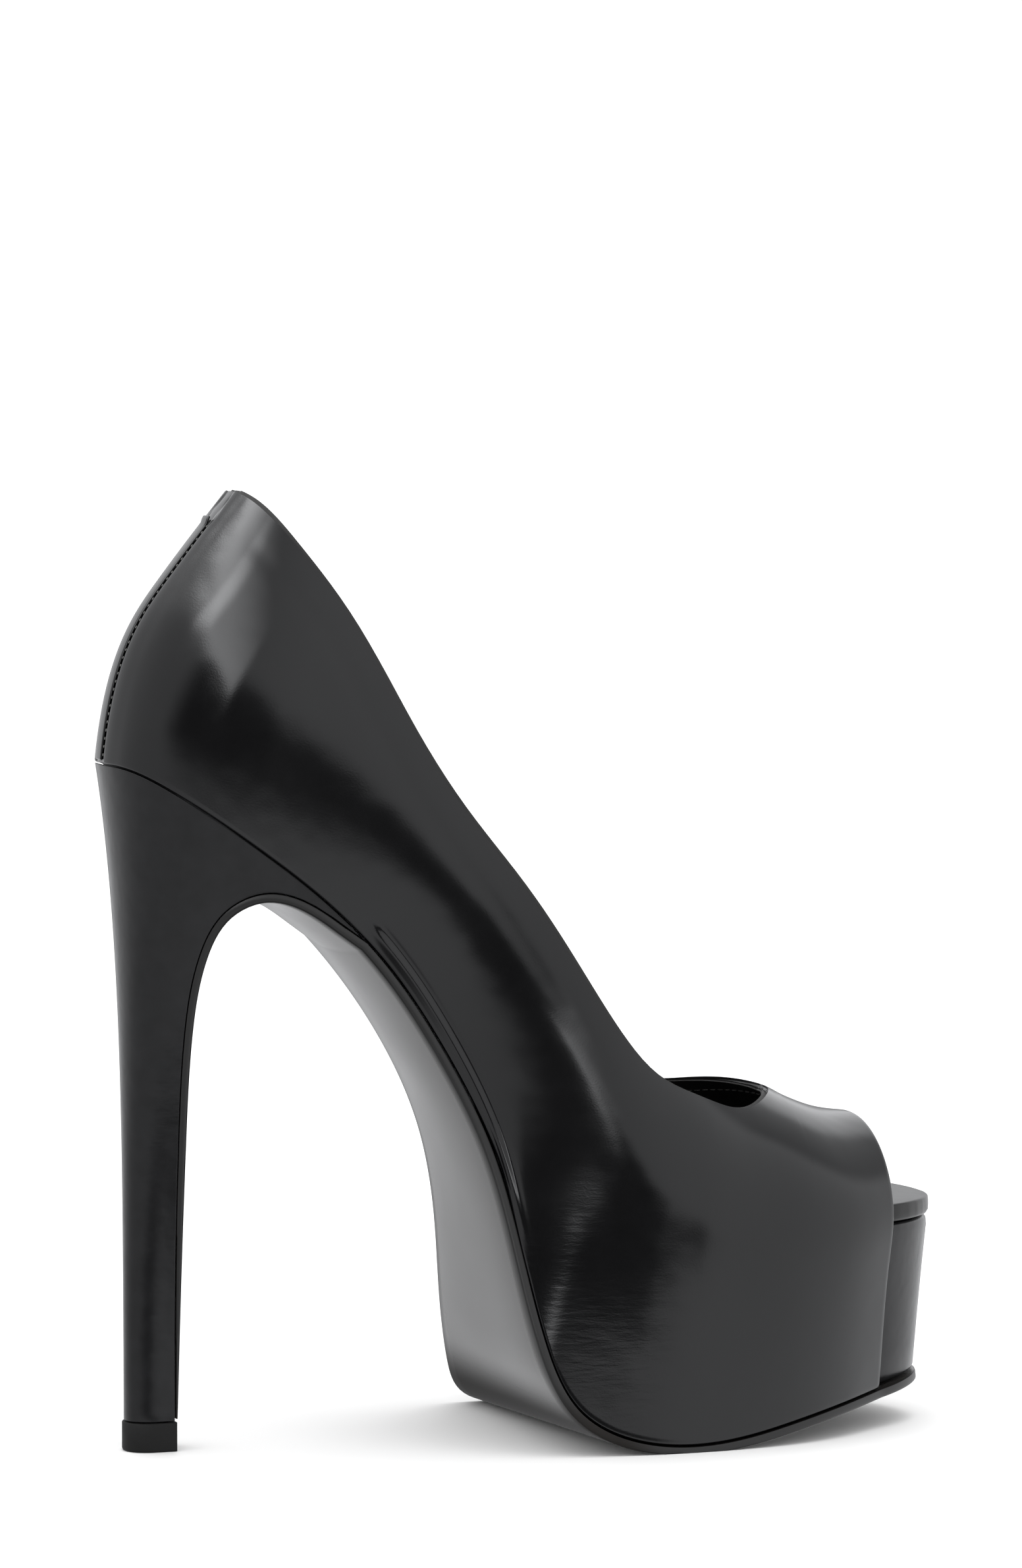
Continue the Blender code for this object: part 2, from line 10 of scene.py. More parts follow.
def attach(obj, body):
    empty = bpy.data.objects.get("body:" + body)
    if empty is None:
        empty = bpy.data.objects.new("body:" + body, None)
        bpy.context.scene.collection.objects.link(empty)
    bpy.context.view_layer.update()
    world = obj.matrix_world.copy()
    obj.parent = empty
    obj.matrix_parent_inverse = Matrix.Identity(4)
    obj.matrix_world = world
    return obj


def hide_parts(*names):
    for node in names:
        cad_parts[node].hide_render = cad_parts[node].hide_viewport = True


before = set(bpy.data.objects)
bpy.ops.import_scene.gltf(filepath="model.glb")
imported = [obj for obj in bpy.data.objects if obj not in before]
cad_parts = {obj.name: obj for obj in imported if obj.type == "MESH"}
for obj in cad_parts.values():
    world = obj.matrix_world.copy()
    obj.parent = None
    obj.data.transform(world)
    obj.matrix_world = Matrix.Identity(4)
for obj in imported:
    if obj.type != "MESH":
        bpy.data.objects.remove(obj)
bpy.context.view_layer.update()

mm = 0.001
inner, outer = -1, 1  # sides of the foot

shoe = {
    "middle": np.array([101.937, 0.010, 0.0]),  # mm from the back of the heel to the frame's origin
    "gap": 0.3,  # mm between solids that meet
    "probe": 0.002,  # share of a curve to either side, for its direction
    "weld": 0.00001,  # metres
    "turns": np.radians([30.0, 60.0, 90.0]),  # steps of a half round edge
}


# curves and small helpers, in mm

def splineThrough(knots, values):
    knots = np.asarray(knots, float)
    values = np.asarray(values, float)
    steps = np.diff(knots)
    count = len(knots)
    matrix = np.eye(count)
    pull = np.zeros_like(values)
    for i in range(1, count - 1):
        matrix[i, i - 1:i + 2] = steps[i - 1], 2 * (steps[i - 1] + steps[i]), steps[i]
        pull[i] = 6 * ((values[i + 1] - values[i]) / steps[i] - (values[i] - values[i - 1]) / steps[i - 1])
    bend = np.linalg.solve(matrix, pull)

    def at(places):
        places = np.asarray(places, float)
        i = np.clip(np.searchsorted(knots, places) - 1, 0, count - 2)
        before = ((knots[i + 1] - places) / steps[i])[..., None]
        after = 1 - before
        curve = (before ** 3 - before) * bend[i] + (after ** 3 - after) * bend[i + 1]
        return before * values[i] + after * values[i + 1] + curve * steps[i][..., None] ** 2 / 6

    return at


def lineThrough(points):
    points = np.array(points, float)
    runs = np.linalg.norm(np.diff(points, axis=0), axis=1)
    curve = splineThrough(np.concatenate([[0.0], np.cumsum(runs)]) / runs.sum(), points)

    def at(share):
        ahead = curve(min(share + shoe["probe"], 1.0)) - curve(max(share - shoe["probe"], 0.0))
        return curve(share), ahead / np.linalg.norm(ahead)

    return at


def ease(share):
    share = np.clip(share, 0.0, 1.0)
    return share * share * (3 - 2 * share)


def unit(vectors):
    return vectors / np.maximum(np.linalg.norm(vectors, axis=-1, keepdims=True), 1e-12)


def leftOf(along):
    return np.array([-along[1], along[0]])


def alongRow(places, marks, rows):
    return np.stack([np.interp(places, marks, column) for column in rows.T], axis=-1)


def toFrame(point):
    return Vector((np.asarray(point) - shoe["middle"]) * mm)


# the last: sections from the peep edge back to the heel seam

last = {
    "columns": "footX footZ crownX crownZ bow footY lowY midY highY crownY rim flare back drop".split(),
    "rows": {
        "peep": (184.4, 9.6, 185.6, 72.5, 0.0, 24.6, 26.4, 28.8, 35.3, 16.3, 72.5, 0.04, 0.0, 0.0),
        "toes": (173.0, 8.1, 176.5, 74.0, 0.0, 33.1, 34.0, 36.1, 41.1, 20.1, 74.0, 0.00, 0.0, 0.0),
        "throat": (157.0, 5.2, 163.4, 79.3, 0.0, 40.1, 40.8, 42.0, 46.0, 23.5, 79.3, 0.00, 0.5, 0.0),
        "tread": (138.0, 1.9, 150.0, 86.2, 0.0, 43.0, 43.2, 43.8, 47.6, 25.6, 77.7, 0.00, 3.5, 0.0),
        "ball": (118.0, 3.2, 139.0, 94.6, 0.0, 43.5, 44.0, 44.4, 48.4, 27.0, 81.1, 0.00, 9.9, 0.8),
        "corner": (104.0, 10.9, 130.0, 102.0, 0.0, 42.0, 41.9, 42.6, 46.6, 28.4, 85.8, 0.02, 3.0, 0.8),
        "riser": (97.0, 25.9, 122.0, 111.0, 0.0, 38.8, 38.6, 39.8, 42.9, 29.8, 93.9, 0.01, -0.8, -0.6),
        "step": (93.3, 44.9, 115.0, 121.0, 0.0, 33.7, 34.7, 37.2, 38.2, 29.8, 104.1, 0.00, -1.6, -0.6),
        "waist": (88.2, 69.0, 107.0, 134.0, 0.0, 27.2, 30.4, 33.4, 33.1, 29.3, 117.6, 0.00, -0.6, -0.6),
        "arch": (77.8, 92.0, 98.0, 149.0, 0.0, 23.2, 27.6, 30.5, 30.4, 27.6, 132.7, 0.04, 0.0, -0.5),
        "shank": (65.0, 111.3, 86.0, 167.9, 0.0, 22.9, 27.9, 30.3, 29.6, 25.9, 149.5, 0.10, 0.3, -0.3),
        "breast": (50.5, 126.5, 74.0, 190.9, 0.0, 24.2, 28.6, 30.4, 29.1, 24.2, 169.8, 0.05, 0.0, 0.0),
        "seat": (35.0, 138.8, 60.0, 211.8, 1.0, 25.0, 28.9, 30.9, 28.5, 21.8, 193.2, 0.00, 0.0, 0.0),
        "heel": (18.0, 150.7, 49.0, 227.8, 3.6, 24.0, 27.7, 28.9, 25.4, 18.6, 210.3, 0.00, 0.0, 0.0),
        "nook": (6.0, 158.2, 46.2, 234.9, 7.3, 15.5, 17.4, 17.2, 15.5, 11.0, 218.5, 0.00, 0.0, 0.0),
        "back": (1.6, 159.5, 46.0, 237.1, 10.1, 0.0, 0.0, 0.0, 0.0, 0.0, 221.1, 0.00, 0.0, 0.0),
    },
    "heights": (0.0, 0.25, 0.5, 0.75, 1.0, 1.0),
    "bowShares": (0.0, 1.0, 0.76, 0.38, 0.0, 0.0),
    "lowestTop": 0.3,
}


def sectionControls(name, side):
    row = dict(zip(last["columns"], last["rows"][name]))
    foot = np.array([row["footX"], 0.0, row["footZ"]])
    widen = 1.0
    if side == outer:
        foot -= (row["back"], 0.0, row["drop"])
        widen += row["flare"]
    rise = np.array([row["crownX"], 0.0, row["crownZ"]]) - foot
    backwards = unit(np.array([-rise[2], 0.0, rise[0]]))
    points = foot + np.outer(last["heights"], rise) + np.outer(last["bowShares"], backwards) * row["bow"]
    points[:, 1] = [row[key] * side * widen for key in ("footY", "lowY", "midY", "highY", "crownY")] + [0.0]
    return points, row["rim"]


def lastLoop():
    names = list(last["rows"])
    middles = [sectionControls(name, inner)[0][1:3].mean(axis=0) for name in names]
    runs = np.linalg.norm(np.diff(middles, axis=0), axis=1)
    girth = 1 - np.concatenate([[0.0], np.cumsum(runs)]) / runs.sum()
    stations = list(zip(names, girth))
    knots, values = [], []
    for side, part in ((inner, stations), (outer, stations[-2::-1])):
        for name, place in part:
            points, rim = sectionControls(name, side)
            knots.append(side * place)
            values.append(np.append(points.ravel(), rim))
    return splineThrough(knots, values), dict(stations)


lastAt, at = lastLoop()


def sectionWeights(t):
    knots = (0, 0, 0, 0, 1 / 3, 2 / 3, 1, 1, 1, 1)  # clamped cubic B-spline on six points
    t = np.clip(t, 0.0, 1 - 1e-9)
    weights = [((t >= knots[i]) & (t < knots[i + 1])).astype(float) for i in range(9)]
    for degree in (1, 2, 3):
        for i in range(9 - degree):
            left = knots[i + degree] - knots[i]
            right = knots[i + degree + 1] - knots[i + 1]
            rise = (t - knots[i]) / left * weights[i] if left else 0.0
            fall = (knots[i + degree + 1] - t) / right * weights[i + 1] if right else 0.0
            weights[i] = rise + fall
    return np.stack(weights[:6], axis=-1)


def wall(u, t):
    u, t = np.broadcast_arrays(np.asarray(u, float), np.asarray(t, float))
    controls = lastAt(u.ravel())[:, :18].reshape(-1, 6, 3)
    return np.einsum("nk,nkc->nc", sectionWeights(t.ravel()), controls).reshape(u.shape + (3,))


def wallNormal(u, t):
    step = shoe["probe"]
    along = wall(np.minimum(u + step, 1.0), t) - wall(np.maximum(u - step, -1.0), t)
    up = wall(u, np.minimum(t + step, 1.0)) - wall(u, np.maximum(t - step, 0.0))
    return unit(np.cross(up, along))


def topline(u):
    rim = lastAt(u)[:, 18]
    low, high = np.full(u.shape, last["lowestTop"]), np.ones(u.shape)
    for _ in range(40):
        middle = (low + high) / 2
        under = wall(u, middle)[:, 2] < rim
        low, high = np.where(under, middle, low), np.where(under, high, middle)
    return np.where(np.abs(u) >= at["throat"] - 1e-9, 1.0, low)


def footLine(u):
    side = math.copysign(1.0, u)
    back = wall(side * max(abs(u) - shoe["probe"], 0.0), 0.0)
    ahead = wall(side * min(abs(u) + shoe["probe"], 1.0), 0.0)
    return wall(u, 0.0)[[0, 2]], leftOf(unit((back - ahead)[[0, 2]]))


# mesh making

def sheet(bm, points, drop=None):
    columns, rows = points.shape[0] - 1, points.shape[1] - 1
    grid = bmesh.ops.create_grid(bm, x_segments=columns, y_segments=rows, size=1.0)["verts"]
    spots = [((vert.co.x + 1) / 2 * columns, (vert.co.y + 1) / 2 * rows) for vert in grid]
    doomed = []
    if drop is not None:  # cells of the grid that are left out
        for face in {face for vert in grid for face in vert.link_faces}:
            spot = face.calc_center_median()
            if drop(int((spot.x + 1) / 2 * columns), int((spot.y + 1) / 2 * rows)):
                doomed.append(face)
    for vert, (column, row) in zip(grid, spots):
        vert.co = toFrame(points[round(column), round(row)])
    bmesh.ops.delete(bm, geom=doomed, context="FACES")


def placeKey(place):
    return tuple(round(part, 6) for part in place)


def closeUp(bm):
    bmesh.ops.remove_doubles(bm, verts=bm.verts, dist=shoe["weld"])
    bmesh.ops.dissolve_degenerate(bm, edges=bm.edges, dist=shoe["weld"])
    bmesh.ops.recalc_face_normals(bm, faces=bm.faces)


def turnBorder(points, normal, spread, axis, end, half, away):
    lines, normals, spreads = (np.moveaxis(grid, axis, 0) for grid in (points, normal, spread))
    first, second = (0, 1) if end == 0 else (-1, -2)
    if away is None:
        away = lines[first] - lines[second]
        away = unit(away - normals[first] * (away * normals[first]).sum(axis=-1, keepdims=True))
    extra = [lines[first] + away * half * math.sin(turn) for turn in shoe["turns"]]
    flat = [spreads[first] * math.cos(turn) for turn in shoe["turns"]]
    same = [normals[first]] * len(extra)
    grown = []
    for kept, more in ((lines, extra), (normals, same), (spreads, flat)):
        both = (more[::-1], kept) if end == 0 else (kept, more)
        grown.append(np.moveaxis(np.concatenate(both), 0, axis))
    return grown


def leather(points, normal, thick, rimAway=None, drop=None):
    half = thick / 2
    middle = points - normal * half
    spread = np.ones(points.shape[:2])
    for axis, end, away in ((1, 0, None), (1, 1, rimAway), (0, 0, None), (0, 1, None)):
        middle, normal, spread = turnBorder(middle, normal, spread, axis, end, half, away)
    bm = bmesh.new()
    for face in (1, -1):
        sheet(bm, middle + normal * (spread * half * face)[..., None], drop)
    closeUp(bm)
    return bm


def tube(rings):
    bm = bmesh.new()
    rings = np.asarray(rings, float)
    sheet(bm, np.swapaxes(np.concatenate([rings, rings[:, :1]], axis=1), 0, 1))
    bmesh.ops.remove_doubles(bm, verts=bm.verts, dist=shoe["weld"])
    bmesh.ops.holes_fill(bm, edges=bm.edges)
    closeUp(bm)
    return bm


def addObject(name, data):
    thing = bpy.data.objects.new(name, data)
    bpy.context.scene.collection.objects.link(thing)
    return thing


def addMesh(name, bm):
    mesh = bpy.data.meshes.new(name)
    bm.to_mesh(mesh)
    bm.free()
    return addObject(name, mesh)


def finishPiece(name, bm, material, node=None, smooth=50.0):
    piece = addMesh(name, bm)
    mesh = piece.data
    mesh.shade_smooth()
    mesh.set_sharp_from_angle(angle=math.radians(smooth))
    mesh.materials.append(material)
    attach(piece, "root")
    if node:
        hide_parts(node)
    print("made", name, len(mesh.polygons), "faces")
    return piece


# finishes

class Wire:
    def __init__(self, socket):
        self.socket = socket

    def maths(self, operation, first, second):
        tree = self.socket.id_data
        node = tree.nodes.new("ShaderNodeMath")
        node.operation = operation
        for entry, value in zip(node.inputs, (first, second)):
            if isinstance(value, Wire):
                tree.links.new(value.socket, entry)
            else:
                entry.default_value = value
        return Wire(node.outputs[0])

    def __add__(self, other):
        return self.maths("ADD", self, other)

    __radd__ = __add__

    def __sub__(self, other):
        return self.maths("SUBTRACT", self, other)

    def __rsub__(self, other):
        return self.maths("SUBTRACT", other, self)

    def __mul__(self, other):
        return self.maths("MULTIPLY", self, other)

    __rmul__ = __mul__


class Finish:
    def __init__(self, name, world=None):
        holder = world or bpy.data.materials.new(name)
        holder.use_nodes = True
        self.holder = holder
        self.tree = holder.node_tree
        self.shader = self.tree.nodes["Background" if world else "Principled BSDF"]

    def node(self, kind, settings=None, inputs=None, out=0):
        node = self.tree.nodes.new("ShaderNode" + kind)
        for key, value in (settings or {}).items():
            setattr(node, key, value)
        for key, value in (inputs or {}).items():
            self.feed(node.inputs[key], value)
        return Wire(node.outputs[out])

    def feed(self, entry, value):
        if isinstance(value, Wire):
            self.tree.links.new(value.socket, entry)
        else:
            entry.default_value = value

    def fill(self, **values):
        for key, value in values.items():
            self.feed(self.shader.inputs[" ".join(key.split("_"))], value)

    def place(self, scale=(1.0, 1.0, 1.0)):
        spot = self.node("TexCoord", out="Object")
        return self.node("Mapping", None, {"Vector": spot, "Scale": scale})

    def noise(self, scale, detail=3.0, rough=0.5, vector=None):
        return self.node("TexNoise", None, {"Vector": vector or self.place(), "Scale": scale,
                                            "Detail": detail, "Roughness": rough})

    def ramp(self, value, start, end):
        return self.node("MapRange", {"interpolation_type": "SMOOTHSTEP"},
                         {"Value": value, "From Min": start, "From Max": end})

    def bump(self, height):
        return self.node("Bump", None, {"Height": height, "Strength": 1.0, "Distance": mm})

    def blend(self, mask, first, second):
        mixed = self.node("Mix", {"data_type": "RGBA"}, None, 2)
        for entry, value in zip((0, 6, 7), (mask, first, second)):
            self.feed(mixed.socket.node.inputs[entry], value)
        return mixed

    def shade(self, mask, dark, light):
        return self.blend(mask, (*dark, 1.0), (*light, 1.0))

    def measure(self, operation, vector, other):
        return self.node("VectorMath", {"operation": operation}, {0: vector, 1: other}, "Value")

    def spot(self, centre, reach):
        away = self.measure("DISTANCE", self.node("TexCoord", out="Object"), toFrame(centre))
        return self.ramp(away, reach * mm, 0.0)

    def cover(self, look, grain, tone=None, sheen=None):
        self.fill(Base_Color=self.shade(tone or grain, look["dark"], look["light"]),
                  Roughness=(sheen or grain) * look["roughSpread"] + look["rough"],
                  Normal=self.bump(grain * look["grainHeight"]))
        return self.holder


def polishedLeather(name, look):
    finish = Finish(name)
    broad = finish.noise(look["waveScale"], 2.0)
    pores = finish.noise(look["poreScale"], 2.0, 0.6)
    pulls = finish.noise(look["pullScale"], 3.0, 0.6, finish.place(look["pullStretch"]))
    mask = 0.0
    for centre, reach in look["pullSpots"]:
        mask = finish.spot(centre, reach) + mask
    height = broad * look["waveHeight"] + pores * look["poreHeight"] + pulls * mask * look["pullHeight"]
    tone = finish.noise(look["toneScale"], 4.0)
    face = finish.shade(tone, look["dark"], look["light"])
    if "cut" in look:  # lighter grey along the peep's cut edge, marked on the mesh
        mark = finish.node("Attribute", {"attribute_name": "cutEdge"}, None, "Fac")
        face = finish.blend(mark, face, (*look["cut"], 1.0))
    finish.fill(Base_Color=face,
                Roughness=tone * look["roughSpread"] + broad * look["roughSpread"] + look["rough"],
                Normal=finish.bump(height), IOR=look["ior"])
    return finish.holder


leatherLook = {
    "dark": (0.0006, 0.0006, 0.0008), "light": (0.0018, 0.0018, 0.0022),
    "rough": 0.09, "roughSpread": 0.05, "ior": 1.48,
    "toneScale": 160.0, "waveScale": 55.0, "waveHeight": 0.16,
    "poreScale": 2600.0, "poreHeight": 0.006,
    "pullScale": 420.0, "pullStretch": (0.35, 0.35, 1.6), "pullHeight": 0.03,
    "pullSpots": (((100.0, -42.0, 42.0), 34.0), ((112.0, -44.0, 22.0), 26.0)),
}
wrapLook = dict(leatherLook, light=(0.007, 0.007, 0.008), toneScale=240.0, rough=0.2, ior=1.39, waveScale=160.0,
                waveHeight=0.12, pullHeight=0.03,
                pullSpots=(((12.0, -8.0, 30.0), 45.0), ((12.0, -8.0, 80.0), 40.0)))
footbedLook = dict(leatherLook, rough=0.24, ior=1.34, poreHeight=0.012, dark=(0.003, 0.003, 0.003),
                   light=(0.007, 0.007, 0.007), pullSpots=(((199.0, -10.0, 51.0), 22.0),))
upperLeather = polishedLeather("upperLeather", dict(leatherLook, cut=(0.16, 0.155, 0.15)))
heelLeather = polishedLeather("heelLeather", wrapLook)
platformLeather = polishedLeather("platformLeather", dict(wrapLook, pullSpots=(((196.0, -14.0, 44.0), 20.0),)))
footbedLeather = polishedLeather("footbedLeather", footbedLook)

liningLook = {"dark": (0.006, 0.006, 0.006), "light": (0.016, 0.015, 0.014), "tone": 90.0, "grain": 1500.0,
              "grainHeight": 0.02, "rough": 0.5, "roughSpread": 0.2}


def liningLeather(look):
    finish = Finish("liningLeather")
    return finish.cover(look, finish.noise(look["grain"], 3.0, 0.6), tone=finish.noise(look["tone"]))


soleLook = {"dark": (0.020, 0.019, 0.018), "light": (0.034, 0.032, 0.030), "ink": (0.0025, 0.0022, 0.002),
            "cloud": 45.0, "pebble": 1900.0, "pebbleHeight": 0.012, "fibre": 300.0, "fibreHeight": 0.008,
            "rough": 0.2, "roughSpread": 0.1, "inkRough": 0.4,
            # painted shade at the lower corner, near the floor: darker, duller leather that stands in for the
            # shadowed floor it would mirror, between these places in mm
            "floorShade": (0.011, 0.009, 0.008), "floorShadeLow": 6.0, "floorShadeHigh": 18.0, "floorShadeBack": 112.0, "floorShadeFront": 126.0,
            "floorShadeRough": 0.6, "floorShadeGloss": 0.08}


def soleLeather(look):
    finish = Finish("soleLeather")
    ink = finish.node("Attribute", {"attribute_name": "edgeInk"}, None, "Fac")
    pebble = finish.node("TexVoronoi", {"feature": "SMOOTH_F1"},
                         {"Vector": finish.place(), "Scale": look["pebble"], "Smoothness": 0.6})
    cloud = finish.noise(look["cloud"], 4.0)
    relief = pebble * look["pebbleHeight"] + finish.noise(look["fibre"]) * look["fibreHeight"]
    bump = finish.bump(relief * (1 - ink))
    face = finish.shade(cloud, look["dark"], look["light"])
    mixed = finish.blend(ink, face, (*look["ink"], 1.0))
    rough = (cloud * look["roughSpread"] + look["rough"]) * (1 - ink) + ink * look["inkRough"]
    finish.fill(Base_Color=mixed, Roughness=rough, Normal=bump)
    # painted shade: a darker, duller shader mixed in low down at the sole's lower corner, standing in for the
    # shadowed floor mirrored there
    height = finish.node("SeparateXYZ", None, {0: finish.node("TexCoord", out="Object")}, "Z")
    ahead = Wire(height.socket.node.outputs["X"])
    low = finish.ramp(height, look["floorShadeHigh"] * mm, look["floorShadeLow"] * mm)
    back = finish.ramp(ahead, *[(look[key] - shoe["middle"][0]) * mm for key in ("floorShadeFront", "floorShadeBack")])
    shadedSole = finish.node("BsdfPrincipled", None, {
        "Base Color": finish.shade(cloud, look["floorShade"], look["dark"]), "Roughness": look["floorShadeRough"],
        "Specular IOR Level": look["floorShadeGloss"], "Normal": bump})
    both = finish.node("MixShader", None, {0: low * back, 1: Wire(finish.shader.outputs[0]), 2: shadedSole})
    finish.feed(finish.tree.nodes["Material Output"].inputs["Surface"], both)
    return finish.holder


rubberLook = {"dark": (0.003, 0.003, 0.003), "light": (0.007, 0.007, 0.007), "grain": 2400.0, "grainHeight": 0.02,
              "sheen": 200.0, "rough": 0.55, "roughSpread": 0.2, "gloss": 0.25}


def tipRubber(look):
    finish = Finish("tipRubber")
    finish.fill(Specular_IOR_Level=look["gloss"])
    return finish.cover(look, finish.noise(look["grain"], 3.0, 0.7), sheen=finish.noise(look["sheen"]))


threadLook = {"dark": (0.05, 0.05, 0.05), "light": (0.22, 0.22, 0.21), "twist": 2600.0, "grainHeight": 0.03,
              "rough": 0.35, "roughSpread": 0.1}


def waxedThread(look):
    finish = Finish("waxedThread")
    twist = finish.node("TexWave", {"bands_direction": "DIAGONAL"},
                        {"Vector": finish.place(), "Scale": look["twist"], "Distortion": 1.0}, "Fac")
    return finish.cover(look, twist)


lining = liningLeather(liningLook)
sole = soleLeather(soleLook)
rubber = tipRubber(rubberLook)
thread = waxedThread(threadLook)
print("finishes ready")


# upper: outer leather and lining

upperMake = {
    "leather": {"vamp": 28, "quarter": 190, "rows": 62, "thick": 1.1, "inset": 0.0, "rimDrop": 0.0},
    "lining": {"vamp": 14, "quarter": 90, "rows": 26, "thick": 0.6, "inset": 1.1, "rimDrop": 1.3},
    "bead": 0.55, "beadHeight": 2.6, "beadWidth": 1.1, "beadStart": 0.45, "beadFade": 0.03,
    "beadCrease": 0.3, "creaseHeight": 4.7, "creaseWidth": 0.8, "flare": 0.25, "flareWidth": 2.4,
    "trough": 0.1, "troughBelow": 7.0, "troughWidth": 2.4, "troughFades": (0.05, 0.1),
    "shoulder": 0.32, "shoulderStart": 2.4, "shoulderRise": 1.2, "shoulderWidth": 6.0,
    "collarFold": 0.2, "foldWidth": 0.5, "foldLift": 0.05, "foldStart": 2.5, "foldLean": 0.18, "foldEnd": 9.0,
    "ridge": 0.6, "ridgeZ": 53.0, "ridgeAbove": 20.0, "ridgeBelow": 15.0, "ridgeFrom": 88.0, "ridgeTo": 132.0,
    "ridgeFades": (6.0, 14.0), "counterFade": 0.04, "crowding": 0.55, "pullBackRows": 0.86, "cutReach": 0.3,
}


def upperStations(vampSteps, quarterSteps, front):
    vamp = np.linspace(front, at["throat"], vampSteps, endpoint=False)
    quarter = at["throat"] * (1 - ease(np.linspace(0.0, 1.0, quarterSteps + 1)))
    half = np.concatenate([vamp, quarter])
    return np.concatenate([-half, half[-2::-1]])


def upperSkin(skin, make):
    edge = skin["thick"] / 2
    pace = np.linalg.norm(wall(1.0, 0.5) - wall(1.0 - shoe["probe"], 0.5)) / shoe["probe"]
    u = upperStations(skin["vamp"], skin["quarter"], 1.0 - edge / pace)
    tops = topline(u)
    shares = np.linspace(0.0, 1.0, skin["rows"] + 1)
    shares = shares - make["crowding"] * np.sin(2 * math.pi * shares) / (2 * math.pi)  # closer at foot and rim
    foot = edge * shoe["probe"] / np.linalg.norm(wall(u, shoe["probe"]) - wall(u, 0.0), axis=1)
    t = foot[:, None] + (tops - foot)[:, None] * shares
    points = wall(u[:, None], t)
    normal = wallNormal(u[:, None], t)
    closed = np.abs(u) > at["throat"] + 1e-9  # vamp stations, where both halves meet over the toes
    normal[np.abs(u) >= at["throat"] - 1e-9, -1, 1] = 0.0
    normal = unit(normal)
    rim = np.where(~closed)[0]
    along = np.gradient(points[rim, -1], axis=0)
    along[[0, -1]] = (0.0, 1.0, 0.0)
    rimAway = np.zeros((len(u), 3))
    rimAway[rim] = unit(np.cross(normal[rim, -1], along))
    if rimAway[rim[0], 0] > 0:
        rimAway *= -1
    fade = ease(1 - (np.abs(u) - at["throat"]) / (0.5 * (1 - at["throat"])))
    pull = np.where(closed[:, None], rimAway[rim[0]] * fade[:, None], rimAway)
    run = np.linalg.norm(np.diff(points, axis=1), axis=2)
    height = np.concatenate([np.zeros((len(u), 1)), np.cumsum(run, axis=1)], axis=1)
    rimLine = points[rim, -1]
    below = np.array([np.linalg.norm(column[:, None] - rimLine, axis=2).min(axis=1) for column in points])
    points = points + normal * upperLift(u, height, below, points, make)[..., None]
    late = ease((shares - make["pullBackRows"]) / (1 - make["pullBackRows"]))
    points = points - pull[:, None] * ((edge + skin["rimDrop"]) * late)[None, :, None]
    turns = len(shoe["turns"])

    def drop(column, row):  # the vamp has no rim where its halves meet
        column = min(max(column - turns, 0), len(u) - 2)
        return row >= skin["rows"] + turns and (closed[column] or closed[column + 1])

    return leather(points - normal * skin["inset"], normal, skin["thick"], rimAway, drop)


def hump(offset, width):
    return np.exp(-(offset / width) ** 2)


def upperLift(u, height, below, points, make):
    away = np.abs(u)[:, None]
    x, aside, z = points[..., 0], np.abs(points[..., 1]), points[..., 2]
    begin = at["breast"] + make["beadStart"] * (at["shank"] - at["breast"])
    arch = ease((away - begin) / make["beadFade"]) * ease((at["step"] - away) / (at["step"] - at["waist"]))
    lift = make["bead"] * arch * hump(height - make["beadHeight"], make["beadWidth"])
    lift = lift - make["beadCrease"] * arch * hump(height - make["creaseHeight"], make["creaseWidth"])
    front = ease((away - at["ball"]) / (at["throat"] - at["ball"]))
    lift = lift + make["flare"] * front * hump(below, make["flareWidth"])
    fadeIn, fadeOut = make["troughFades"]
    quarter = ease((away - at["nook"]) / fadeIn) * ease((at["corner"] - away) / fadeOut)
    lift = lift - make["trough"] * quarter * hump(below - make["troughBelow"], make["troughWidth"])
    over = z - make["ridgeZ"]  # soft ridge across the platform's inner side
    fadeIn, fadeOut = make["ridgeFades"]
    window = (u < 0)[:, None] * ease((x - make["ridgeFrom"]) / fadeIn) * ease((make["ridgeTo"] - x) / fadeOut)
    lift = lift + make["ridge"] * window * hump(over, np.where(over > 0, make["ridgeAbove"], make["ridgeBelow"]))
    counter = ease((at["heel"] - away) / make["counterFade"])
    beside = aside - make["shoulderStart"]  # soft shoulders beside the strip
    past = (beside - make["shoulderRise"]) / make["shoulderWidth"]
    lift = lift + make["shoulder"] * counter * ease(beside / make["shoulderRise"]) * ease(1 - past)
    # crease of the collar beside the seam, gone at the rim itself
    fold = counter * ease((make["foldEnd"] - below) / 4.0) * ease((below - 0.6) / 2.0)
    crease = make["foldStart"] + make["foldLean"] * below
    lift = lift + make["foldLift"] * fold * ease((crease - aside) / 0.8)
    return lift - make["collarFold"] * fold * hump(aside - crease, make["foldWidth"])


def makeUpper(make):
    bm = upperSkin(make["leather"], make)
    cut = bm.verts.layers.float.new("cutEdge")
    foot, crown = wall(1.0, 0.0), wall(1.0, 1.0)
    for vert in bm.verts:
        x, z = vert.co.x / mm + shoe["middle"][0], vert.co.z / mm
        front = foot[0] + (crown[0] - foot[0]) * (z - foot[2]) / (crown[2] - foot[2])
        vert[cut] = float(ease((x - front + make["cutReach"]) / 0.1))
    finishPiece("upper_leather", bm, upperLeather, "upper", 80.0)
    finishPiece("upper_lining", upperSkin(make["lining"], make), lining, None, 80.0)


makeUpper(upperMake)


# strip over the back seam, with its stitches

stripMake = {
    "half": 2.3, "thick": 0.6, "foot": 0.005, "topDrop": 6.0, "across": 10, "rows": 60,
    "tabLift": 0.6, "tabLength": 2.2,
    "stitchOut": 0.2, "stitchPitch": 1.9, "stitchLength": 0.7, "stitchThick": 0.3, "stitchLift": 0.12,
}


